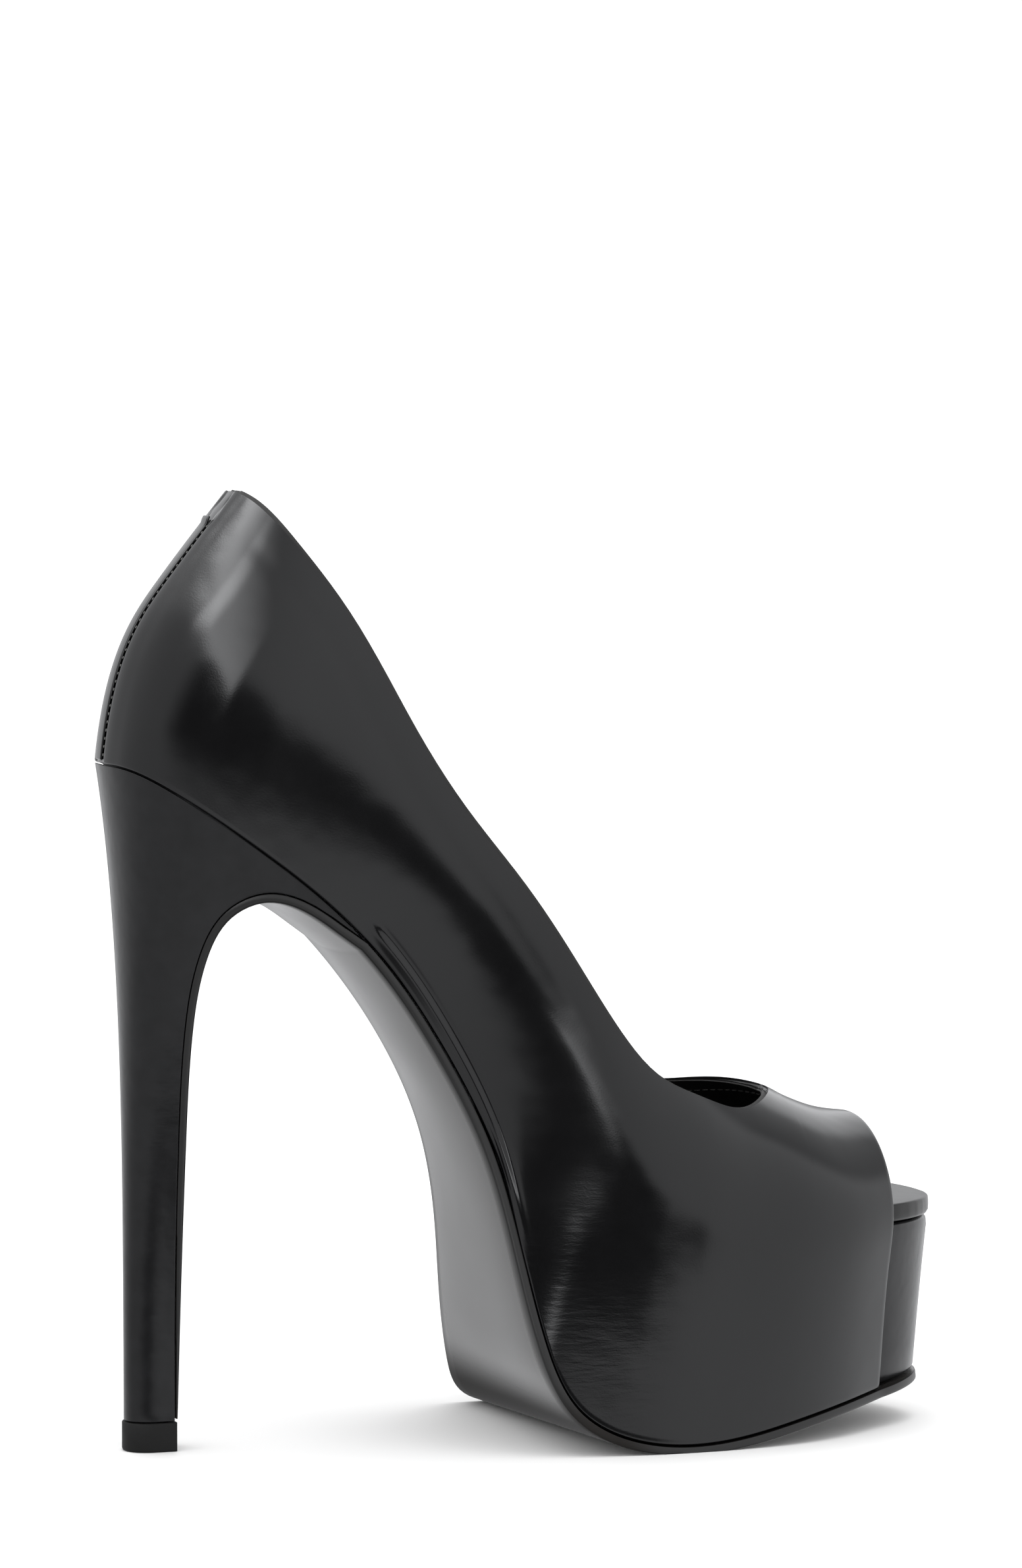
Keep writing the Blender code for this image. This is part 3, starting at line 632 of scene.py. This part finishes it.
def stitch(bm, middle, along, up, length, thick):
    along = Vector(along).normalized()
    up = Vector(up).normalized()
    side = along.cross(up)
    size = Matrix.Diagonal((length / 2 * mm, thick / 2 * mm, thick / 2 * mm, 1.0))
    turn = Matrix((along, side, up)).transposed().to_4x4()
    bmesh.ops.create_uvsphere(bm, u_segments=8, v_segments=6, radius=1.0,
                              matrix=Matrix.Translation(toFrame(middle)) @ turn @ size)


def stitchRow(bm, line, normals, make):
    runs = np.concatenate([[0.0], np.cumsum(np.linalg.norm(np.diff(line, axis=0), axis=1))])
    pitch, length = make["stitchPitch"], make["stitchLength"]
    for place in np.arange(pitch / 2, runs[-1] - pitch / 2, pitch):
        ends = [alongRow(place + half, runs, line) for half in (-length / 2, length / 2)]
        up = alongRow(place, runs, normals)
        stitch(bm, (ends[0] + ends[1]) / 2, ends[1] - ends[0], up, length, make["stitchThick"])


def makeStrip(make):
    t = np.linspace(0.0, 1.0, 2000)
    seam = wall(0.0, t)
    top = t[np.argmax(seam[:, 2] > last["rows"]["back"][10] - make["topDrop"])]
    t = np.linspace(make["foot"], top, make["rows"])
    pace = np.linalg.norm(wall(shoe["probe"], t) - wall(-shoe["probe"], t), axis=1) / (2 * shoe["probe"])
    across = np.linspace(-1.0, 1.0, make["across"] + 1)
    u = across[:, None] * (make["half"] - make["thick"] / 2) / pace
    points, normal = wall(u, t[None, :] + 0 * u), wallNormal(u, t[None, :] + 0 * u)
    runs = np.linalg.norm(points[make["across"] // 2] - points[make["across"] // 2, -1], axis=1)
    tab = make["tabLift"] * ease(1 - runs / make["tabLength"])
    points = points + normal * (make["thick"] + tab)[None, :, None]
    bm = leather(points, normal, make["thick"])
    finishPiece("seam_strip", bm, upperLeather, "back_strip", 80.0)
    bm = bmesh.new()
    for side in (-1, 1):
        u = side * (make["half"] + make["stitchOut"]) / pace
        normals = wallNormal(u, t)
        stitchRow(bm, wall(u, t) + normals * make["stitchLift"], normals, make)
    finishPiece("strip_stitches", bm, thread)


makeStrip(stripMake)

liningStitchMake = {"below": 2.6, "inset": 1.75, "stitchPitch": 2.4, "stitchLength": 1.9, "stitchThick": 0.45,
                    "reach": 0.9995, "stations": 700}


def makeLiningStitches(make):
    end = at["throat"] * make["reach"]
    u = np.linspace(-end, end, make["stations"])
    tops = topline(u)
    line, normals = wall(u, tops), wallNormal(u, tops)
    along = np.gradient(line, axis=0)
    away = unit(np.cross(normals, along))
    if away[0, 0] > 0:
        away = -away
    bm = bmesh.new()
    stitchRow(bm, line - away * make["below"] - normals * make["inset"], normals, make)
    finishPiece("lining_stitches", bm, thread)


makeLiningStitches(liningStitchMake)


# footbed and platform: both follow the upper's inner wall, then run round the toe

toe = {
    "centre": 165.0, "start": 183.2, "leanIn": 2.5, "steps": 40,
    "insoleLength": 38.2, "topLength": 37.9, "floorLength": 35.0, "outsoleLength": 35.3, "outsoleTip": 11.4,
}
upperTree = BVHTree.FromPolygons([vert.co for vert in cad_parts["upper"].data.vertices],
                                 [face.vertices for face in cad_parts["upper"].data.polygons])


def reach(x, z, side, tree=upperTree):
    hit = tree.ray_cast(toFrame((x, 0.0, z)), Vector((0.0, side, 0.0)))[0]
    return hit.y / mm + shoe["middle"][1] if hit else None


def toeSteps(count):  # shares of the way round the toe, closer towards its tip
    return [math.sin(i / count * math.pi / 2) for i in range(1, count + 1)]


def pleatAt(step, make):
    return make["pleatDepth"] * ease(step * 4) * math.sin(step * make["pleats"] * 2 * math.pi) ** 2


def toePoint(step, length, half, begin=None):
    start = math.acos(((begin or toe["start"]) - toe["centre"]) / length)
    angle = start * (1 - step)
    return (toe["centre"] + length * math.cos(angle),
            half * math.sin(angle) / math.sin(start) - toe["leanIn"] * step ** 2)


def toeSpring(x):
    place, away = footLine(1.0)
    slope = -away[0] / away[1]
    tip = toe["centre"] + toe["outsoleLength"] - place[0]
    start = place[1] + away[1] * shoe["gap"]
    curl = (toe["outsoleTip"] - start - slope * tip) / tip ** 2
    return start + slope * (x - place[0]) + curl * (x - place[0]) ** 2


footbedMake = {
    "line": ((183.2, 49.4), (165.0, 46.8), (145.0, 44.8), (128.0, 46.3), (114.0, 51.5), (102.0, 60.0), (93.2, 70.5),
             (84.8, 84.0), (75.2, 99.5), (63.6, 114.6), (50.6, 128.2), (35.2, 140.2), (18.5, 151.8), (9.3, 157.8),
             (5.2, 160.0)),
    "thick": 4.2, "tipRise": -0.4, "steps": 110, "room": 0.25, "crown": 0.35, "across": 9,
    "edge": ((1.2, 0.0), (0.5, 0.05), (0.1, 0.2), (0.0, 0.45), (0.03, 0.74), (0.16, 0.91), (0.5, 0.98), (1.2, 1.0)),
    "pleats": 9.0, "pleatDepth": 0.16,
}
footbedAt = lineThrough(footbedMake["line"])


def makeFootbed(make):
    shares = np.linspace(0.0, 1.0, make["across"] + 2)[1:-1]
    bottom = footbedAt(0.0)[0][1]

    def ring(columns, lift):
        near, far = columns
        top = [near[-1] + (far[-1] - near[-1]) * share + lift * make["crown"] * 4 * share * (1 - share)
               for share in shares]
        under = [far[0] + (near[0] - far[0]) * share for share in shares]
        return near + top + far[::-1] + under

    rings = []
    for step in toeSteps(toe["steps"])[::-1]:
        pleat = pleatAt(step, make)
        columns = []
        for side in (inner, outer):
            low = reach(toe["start"], bottom, side)
            high = reach(toe["start"], bottom + make["thick"], side)
            column = []
            for inset, lift in make["edge"]:
                tuck = pleat * 4 * lift * (1 - lift)
                half = low + (high - low) * lift - side * (inset + tuck + make["room"])
                x, y = toePoint(step, toe["insoleLength"] - inset - tuck, half)
                column.append(np.array([x, y, bottom + make["tipRise"] * step + make["thick"] * lift]))
            columns.append(column)
        rings.append(ring(columns, np.array([0.0, 0.0, 1.0 - step])))
    for turn in np.linspace(0.0, math.pi / 2, make["steps"]):
        place, along = footbedAt(math.sin(turn))
        columns = []
        for side in (inner, outer):
            column = []
            for inset, lift in make["edge"]:
                x, z = place - leftOf(along) * make["thick"] * lift
                half = reach(x, z, side) - side * make["room"]
                column.append(np.array([x, half - side * min(inset, abs(half) * 0.4), z]))
            columns.append(column)
        up = -leftOf(along)
        rings.append(ring(columns, np.array([up[0], 0.0, up[1]])))
    bm = tube(rings)
    piece = finishPiece("footbed", bm, footbedLeather, "insole", 60.0)


makeFootbed(footbedMake)

platformMake = {
    "steps": 40, "floorRoom": 0.35, "sideRoom": 1.0, "probe": np.array([0.12, 0.4]),
    "levels": ((0.5, 0.0), (0.15, 0.006), (0.0, 0.02), (0.0, 0.2), (0.0, 0.4), (0.0, 0.6), (0.0, 0.8), (0.0, 0.93),
               (0.25, 0.972), (0.9, 0.993), (1.9, 1.0)),
    "pleats": 7.0, "pleatDepth": 0.14,
}


def makePlatform(make):
    route = [footbedAt(share) for share in np.linspace(1.0, 0.0, 160)]
    ceiling = np.array([place + leftOf(along) * shoe["gap"] for place, along in route])

    def column(low, high, side):
        points = []
        for inset, level in make["levels"]:
            spot = low + (high - low) * level
            probe = spot.copy()
            while reach(*probe, side) is None:
                probe += make["probe"]
            points.append(np.array([spot[0], reach(*probe, side) - side * (make["sideRoom"] + inset), spot[1]]))
        return points

    rings = []
    for u in np.linspace(at["waist"], 1.0, make["steps"]):
        feet = []
        for side in (inner, outer):
            place, away = footLine(side * u)
            x, z = place - away * make["floorRoom"]
            feet.append(np.array([min(x, toe["start"]), z]))
        x = (feet[0][0] + feet[1][0]) / 2
        top = np.array([x, np.interp(x, ceiling[:, 0], ceiling[:, 1])])
        columns = [column(foot, top, side) for foot, side in zip(feet, (inner, outer))]
        rings.append(columns[0] + columns[1][::-1])
    for step in toeSteps(toe["steps"]):
        pleat = pleatAt(step, make)
        toeColumns = []
        for points in columns:
            toeColumn = []
            for (inset, level), (_, half, _) in zip(make["levels"], points):
                tuck = pleat * ease((level - 0.6) / 0.4)
                length = toe["floorLength"] + (toe["topLength"] - toe["floorLength"]) * level - inset - tuck
                x, y = toePoint(step, length, half * (1 - tuck / abs(half)))
                low = toeSpring(x) + shoe["gap"] + make["floorRoom"]
                high = points[-1][2] + footbedMake["tipRise"] * step
                toeColumn.append(np.array([x, y, low + (high - low) * level]))
            toeColumns.append(toeColumn)
        rings.append(toeColumns[0] + toeColumns[1][::-1])
    finishPiece("platform_cover", tube(rings), platformLeather, "platform", 60.0)


makePlatform(platformMake)


# heel: the seat's outline shrinks down to the tip, cut off in front at the breast

heelMake = {
    "wing": 0.36, "crowding": 0.6, "bottom": 7.1, "tipBack": 6.9, "tipFront": 21.0, "tipHalf": 5.4, "front": 18.1,
    "flareX": 4.2, "flareY": 2.7, "rows": 110, "around": 84, "breast": 8, "seatDrop": 0.35, "edgeRound": 0.4,
    "bedInset": 1.9, "bedRise": 0.7, "rowPace": 1.25, "sweepPace": 1.15, "cutSteps": 241, "sharp": 48.0,
}
breastLine = ((53.3, 122.1), (45.4, 127.4), (35.0, 130.2), (26.0, 126.0), (20.8, 115.6), (18.5, 99.0), (18.0, 72.0),
              (17.9, 40.0), (17.9, 7.6))
breastAt = lineThrough(breastLine)


def heelSeat(share, make=heelMake):
    wing = at["shank"] + (at["breast"] - at["shank"]) * make["wing"]
    share = np.asarray(share, float)
    return wall(wing * share * (1 - make["crowding"] * (1 - np.abs(share))), 0.0)


seatAll = heelSeat(np.linspace(-1.0, 1.0, 401))
seatBack, seatFront, seatHalf = seatAll[:, 0].min(), seatAll[0, 0], np.abs(seatAll[:, 1]).max()


def heelTip(seat, overhang, make=heelMake):
    share = (seat[..., 0] - seatBack) / (seatFront - seatBack)
    x = make["tipBack"] - overhang + (make["tipFront"] - make["tipBack"] + overhang) * share
    return x, (make["tipHalf"] + overhang) * seat[..., 1] / seatHalf


def heelPoint(share, grown, make=heelMake):
    seat = heelSeat(share)
    tipX, tipY = heelTip(seat, 0.0)
    grown = np.maximum(grown, 0.0)
    x = tipX + (seat[..., 0] - tipX) * grown ** make["flareX"]
    y = tipY + (seat[..., 1] - tipY) * grown ** make["flareY"]
    z = make["bottom"] + (seat[..., 2] - make["seatDrop"] - make["bottom"]) * grown
    return np.stack([x, y, z], axis=-1)


def breastGap(points):
    shares = np.linspace(0.0, 1.0, 500)
    places, alongs = zip(*[breastAt(share) for share in shares])
    places, alongs = np.array(places), np.array(alongs)
    head = places[0] - np.outer(np.arange(20, 0, -1), alongs[0]) * 0.5  # the line runs on under the wing's end
    tail = places[-1] + np.outer(np.arange(1, 40), (0.0, -0.5))
    lefts = np.array([leftOf(along) for along in alongs])
    lefts = np.concatenate([[lefts[0]] * len(head), lefts, [[1.0, 0.0]] * len(tail)])
    places = np.concatenate([head, places, tail])
    flat = points[:, [0, 2]]
    nearest = np.linalg.norm(flat[:, None] - places[None], axis=2).argmin(axis=1)
    return ((flat - places[nearest]) * lefts[nearest]).sum(axis=1)


def heelRings(make):
    rows = []
    for grown in 1 - (1 - np.linspace(0.0, 1.0, make["rows"] + 1)) ** make["rowPace"]:
        ends = []
        for side in (inner, outer):
            shares = np.linspace(0.0, 1.0, make["cutSteps"])
            gaps = breastGap(heelPoint(side * shares, np.full(len(shares), grown))) + shoe["gap"]
            past = np.argmax(gaps > 0)  # 0 where the outline stays behind the breast
            part = gaps[past - 1] / (gaps[past - 1] - gaps[past])
            ends.append(shares[past - 1] + shares[1] * part if past else 1.0)
        sweep = np.linspace(-1.0, 1.0, make["around"] + 1)
        sweep = np.sign(sweep) * (1 - (1 - np.abs(sweep)) ** make["sweepPace"])
        shares = np.where(sweep < 0, sweep * ends[0], sweep * ends[1])
        outline = heelPoint(shares, np.full(len(shares), grown))
        across = np.linspace(0.0, 1.0, make["breast"] + 2)[1:-1, None]
        rows.append(np.concatenate([outline, outline[-1] + (outline[0] - outline[-1]) * across]))
    rim = rows[-1]  # a raised bed fills the upper from inside its edge
    ahead = unit((np.roll(rim, -1, axis=0) - np.roll(rim, 1, axis=0))[:, :2])
    within = np.stack([ahead[:, 1], -ahead[:, 0]], axis=1)
    within *= np.sign((within * (rim.mean(axis=0) - rim)[:, :2]).sum(axis=1).mean())
    bed = rim.copy()
    bed[:, :2] += within * make["bedInset"]
    order = np.argsort(outline[:, 0])
    bed[:, 2] = np.interp(bed[:, 0], outline[order, 0], outline[order, 2])
    return np.array(rows + [bed, bed + (0.0, 0.0, make["bedRise"])])


def makeHeel(make):
    rings = heelRings(make)
    bm = tube(rings)
    kept = {placeKey(toFrame(point)) for level in rings[-2:] for point in level}
    corners = [edge for edge in bm.edges if edge.calc_face_angle(0.0) > math.radians(make["sharp"])
               and not all(placeKey(vert.co) in kept for vert in edge.verts)]
    bmesh.ops.bevel(bm, geom=corners, offset=make["edgeRound"] * mm, offset_type="OFFSET", affect="EDGES",
                    segments=3, profile=0.5, material=-1, clamp_overlap=True)
    bmesh.ops.recalc_face_normals(bm, faces=bm.faces)
    finishPiece("heel_cover", bm, heelLeather, "heel", 60.0)


makeHeel(heelMake)

tipMake = {
    "overhang": 0.4, "front": 8,
    # height and inset, up from the floor and down from the top
    "foot": ((0.0, 0.6), (0.08, 0.3), (0.3, 0.08), (0.6, 0.0)), "head": ((0.3, 0.0), (0.08, 0.1), (0.0, 0.35)),
}


def makeTopPiece(make):
    seat = heelSeat(np.linspace(-1.0, 1.0, 97))
    rings = []
    top = heelMake["bottom"] - shoe["gap"]
    levels = [*make["foot"], (top / 2, 0.0), *[(top - down, inset) for down, inset in make["head"]]]
    for height, inset in levels:
        overhang = make["overhang"] - inset
        x, y = heelTip(seat, overhang)
        keep = x <= heelMake["front"] + overhang
        rings.append(np.stack([x[keep], y[keep], np.full(keep.sum(), height)], axis=1))
    short = min(len(ring) for ring in rings)
    even = []
    for ring in rings:
        ring = alongRow(np.linspace(0, len(ring) - 1, short), range(len(ring)), ring)
        across = np.linspace(0.0, 1.0, make["front"])[1:-1, None]
        even.append(np.concatenate([ring, ring[-1] + (ring[0] - ring[-1]) * across]))
    finishPiece("heel_tip", tube(even), rubber, "top_piece", 40.0)


makeTopPiece(tipMake)


# outsole: thin leather from the toe over the arch and down the heel's breast

outsoleMake = {
    "thick": 1.9, "flapEnd": 0.4, "flapTaper": 4.0, "lip": 0.7, "leaves": 0.45,
    "belly": 2.0, "bellyFade": 0.4, "roll": 0.9,  # crown of the underside at the arch, rolled margins below it
    "toeSteps": 30, "shared": 130, "breast": 90, "across": 16, "edgeRound": 0.45,
}


def outsoleRoute(make):
    blank = bmesh.new()
    shares = np.linspace(-1.0, 1.0, 61)
    rings = [heelPoint(shares, np.full(61, grown)) for grown in np.linspace(0.0, 1.03, 60)]
    sheet(blank, np.swapaxes(np.array(rings), 0, 1))
    blankTree = BVHTree.FromBMesh(blank)
    blank.free()
    edges, depths = [], []
    peep = last["rows"]["peep"][0]
    for step in toeSteps(make["toeSteps"])[::-1]:
        edge = []
        for side in (inner, outer):
            half = wall(float(side), 0.0)[1] + side * make["lip"]
            x, y = toePoint(step, toe["outsoleLength"], half, peep)
            edge.append((x, y, toeSpring(x)))
        edges.append(edge)
        depths.append((make["thick"], 0.0, 0.0))
    leaves = at["shank"] + (at["breast"] - at["shank"]) * make["leaves"]
    for u in np.linspace(1.0, leaves, make["shared"]):
        edge = []
        for side in (inner, outer):
            place, away = footLine(side * u)
            x, z = place + away * shoe["gap"]
            edge.append((x, wall(side * u, 0.0)[1] + side * make["lip"], z))
        edges.append(edge)
        arched = ease((at["riser"] - u) / (at["riser"] - at["arch"]))
        depths.append((make["thick"], make["belly"] * arched, make["roll"] * (1 - arched) *
                       ease((at["corner"] - u) / (at["corner"] - at["riser"]))))
    for share in np.linspace(0.0, 1.0, make["breast"] + 1):
        x, z = breastAt(share)[0]
        edge = []
        for side in (inner, outer):
            half = reach(x, z, side, blankTree)
            edge.append((x, edges[-1][0 if side == inner else 1][1] if half is None else half, z))
        edges.append(edge)
        thick = make["thick"] + (make["flapEnd"] - make["thick"]) * share ** make["flapTaper"]
        depths.append((thick, make["belly"] * ease(1 - share / make["bellyFade"]), 0.0))
    return np.array(edges), depths


def makeOutsole(make):
    edges, depths = outsoleRoute(make)
    along = unit(np.gradient(edges[:, :, [0, 2]], axis=0))
    away = np.stack([-along[:, :, 1], np.zeros(along.shape[:2]), along[:, :, 0]], axis=2)
    across = np.linspace(0.0, 1.0, make["across"] + 1)
    wide = np.linalg.norm(edges[:, 1] - edges[:, 0], axis=1)
    rings = []
    for edge, apart, (thick, belly, roll), width in zip(edges, away, depths, wide):
        corner = min(make["edgeRound"] / max(width, 1.0), 0.3)
        # shares across and depths of the underside, with rounded corners
        lower = np.concatenate([[0.0, corner * 0.3], corner + (1 - 2 * corner) * across, [1 - corner * 0.3, 1.0]])
        drops = np.concatenate([[0.7, 0.92], np.ones(len(across)), [0.92, 0.7]])

        def spot(share, depth):
            point = edge[0] + (edge[1] - edge[0]) * share + (apart[0] + (apart[1] - apart[0]) * share) * depth
            return np.array([point[0], point[1], max(point[2], 0.0)])

        ring = [spot(share, 0.0) for share in (corner * 0.5, *across[1:-1], 1 - corner * 0.5)]
        ring.append(spot(1.0, thick * 0.18))
        for share, drop in zip(lower[::-1], drops[::-1]):
            crown = belly * 4 * share * (1 - share) + roll * (1 - (2 * share - 1) ** 4)
            ring.append(spot(share, thick * drop + crown))
        ring.append(spot(0.0, thick * 0.18))
        rings.append(ring)
    bm = tube(rings)
    ink = bm.verts.layers.float.new("edgeInk")
    sides = []
    for ring in rings:
        sides += [ring[i] for i in (0, -1, -2, -3, -4)] + [ring[make["across"] + i] for i in range(5)]
    marked = {placeKey(toFrame(point)) for point in sides}
    for vert in bm.verts:
        vert[ink] = 1.0 if placeKey(vert.co) in marked else 0.0
    finishPiece("sole_leather", bm, sole, "outsole", 50.0)


makeOutsole(outsoleMake)


# floor, light and camera

stageMake = {"floorHalf": 3.0, "dark": (0.86, 0.86, 0.86), "light": (0.89, 0.89, 0.89), "cloud": 6.0,
             "rough": 0.7, "roughSpread": 0.1}


def makeFloor(make):
    bm = bmesh.new()
    bmesh.ops.create_grid(bm, x_segments=8, y_segments=8, size=make["floorHalf"])
    floor = addMesh("floor", bm)
    finish = Finish("paleFloor")
    soft = finish.noise(make["cloud"], 2.0)
    finish.fill(Base_Color=finish.shade(soft, make["dark"], make["light"]),
                Roughness=soft * make["roughSpread"] + make["rough"])
    floor.data.materials.append(finish.holder)
    floor.visible_glossy = False  # the leather mirrors the studio's own white instead


makeFloor(stageMake)

lightMake = {
    "white": 1.05, "toeSide": 0.26, "onFloor": 1.25, "cool": (0.985, 0.993, 1.012),
    # studio things that the polish mirrors: angles in degrees, with azimuth from -Y towards the toe and roll of the
    # long side, then sizes as shares of their distance
    "columns": "azimuth elevation roll shift long longSoft rise short shortSoft strength".split(),
    "flag": (-42.0, 5.1, -25.1, 0.9, 1.3, 0.24, 0.0, 0.18, 0.06, 0.88),
    "beside": (32.0, -6.0, -10.0, 0.0, 0.45, 0.05, 0.0, 0.19, 0.05, 1.0),  # white past the flag's lower end
    "canopy": (115.0, 38.0, 0.0, 0.0, 0.32, 0.12, 0.0, 0.2, 0.1, 0.5),
    "behind": (165.0, -3.0, 0.0, 0.0, 0.22, 0.1, 0.0, 0.14, 0.06, 0.7),
    "under": (0.0, -89.9, 0.0, 0.0, 0.9, 0.35, 0.0, 0.9, 0.35, 0.75),
    "boxLow": (-50.0, 32.5, -37.0, 0.1, 0.66, 0.1, 0.125, 0.29, 0.03, 4.3),
    "boxHigh": (-108.0, 53.0, 0.0, 0.0, 0.62, 0.15, 0.0, 0.2, 0.025, 6.5),
    "overhead": {"azimuth": 0.0, "elevation": 85.0, "away": 2.0, "size": 2.0, "power": 26.0,
                 "aim": (0.0, 0.0, 0.12)},
}


def skyAxes(azimuth, elevation, roll):
    azimuth, elevation, roll = (math.radians(angle) for angle in (azimuth, elevation, roll))
    way = Vector((math.sin(azimuth) * math.cos(elevation), -math.cos(azimuth) * math.cos(elevation),
                  math.sin(elevation)))
    level = Vector((0.0, 0.0, 1.0)).cross(way).normalized()  # towards growing azimuth
    upright = way.cross(level)
    return way, level * math.cos(roll) + upright * math.sin(roll), upright * math.cos(roll) - level * math.sin(roll)


def skyPatch(finish, patch):
    ray = finish.node("TexCoord", None, None, "Generated")
    axes = skyAxes(patch["azimuth"], patch["elevation"], patch["roll"])
    facing, along, across = (finish.measure("DOT_PRODUCT", ray, axis) for axis in axes)
    facing = facing.maths("MAXIMUM", facing, 0.001)
    along = along.maths("DIVIDE", along, facing)
    across = across.maths("DIVIDE", across, facing) - patch["rise"]
    mask = 1.0
    for place, side in ((along - patch["shift"], "long"), (across, "short")):
        soft = patch[side + "Soft"]
        offset = place.maths("ABSOLUTE", place, 0.0)
        mask = mask * finish.ramp(offset, patch[side] + soft, max(patch[side] - soft, 0.0))
    return mask, across


def makeLight(make):
    world = bpy.data.worlds.new("studio")
    bpy.context.scene.world = world
    finish = Finish("studio", world)
    ray = finish.node("TexCoord", None, None, "Generated")
    side = finish.measure("DOT_PRODUCT", ray, (1.0, 0.0, 0.0))
    mirrored = side * make["toeSide"] + make["white"]

    def patch(name):
        return dict(zip(make["columns"], make[name]))

    clear = 1 - skyPatch(finish, patch("beside"))[0]
    for name in ("flag", "canopy", "behind", "under"):
        mask = skyPatch(finish, patch(name))[0] * patch(name)["strength"]
        mirrored = mirrored * (1 - (mask * clear if name == "flag" else mask))
    for box in (patch("boxLow"), patch("boxHigh")):  # brightest along their foot
        mask, across = skyPatch(finish, box)
        low = finish.node("MapRange", None, {"Value": across, "From Min": box["short"], "From Max": -box["short"]})
        mirrored = mirrored + mask * low * low * box["strength"]
    shiny = finish.node("LightPath", None, None, "Is Glossy Ray")
    finish.fill(Color=finish.shade(shiny, (1.0, 1.0, 1.0), make["cool"]),
                Strength=mirrored * shiny + (1 - shiny) * make["onFloor"])
    lamp = make["overhead"]
    light = bpy.data.lights.new("overhead", "AREA")
    light.size = lamp["size"]
    light.energy = lamp["power"]
    overhead = addObject("overhead", light)
    way, longSide, shortSide = skyAxes(lamp["azimuth"], lamp["elevation"], 0.0)
    overhead.matrix_world = Matrix.Translation(Vector(lamp["aim"]) + way * lamp["away"]) @ Matrix(
        (longSide, shortSide, way)).transposed().to_4x4()
    overhead.visible_glossy = False


makeLight(lightMake)

cameraMake = {"aim": (-0.001037, -0.00001, 0.1524), "towards": (-0.308187, -0.948502, 0.073238), "away": 1.7,
              "lens": 167.02, "sensor": 36.0, "nearest": 0.05}


def makeCamera(make):
    camera = addObject("camera", bpy.data.cameras.new("camera"))
    towards = Vector(make["towards"]).normalized()
    camera.location = Vector(make["aim"]) + towards * make["away"]
    camera.rotation_euler = (-towards).to_track_quat("-Z", "Y").to_euler()
    camera.data.lens = make["lens"]
    camera.data.sensor_width = make["sensor"]
    camera.data.clip_start = make["nearest"]
    bpy.context.scene.camera = camera


makeCamera(cameraMake)
bpy.context.scene.view_settings.view_transform = "Standard"
print("stage ready")
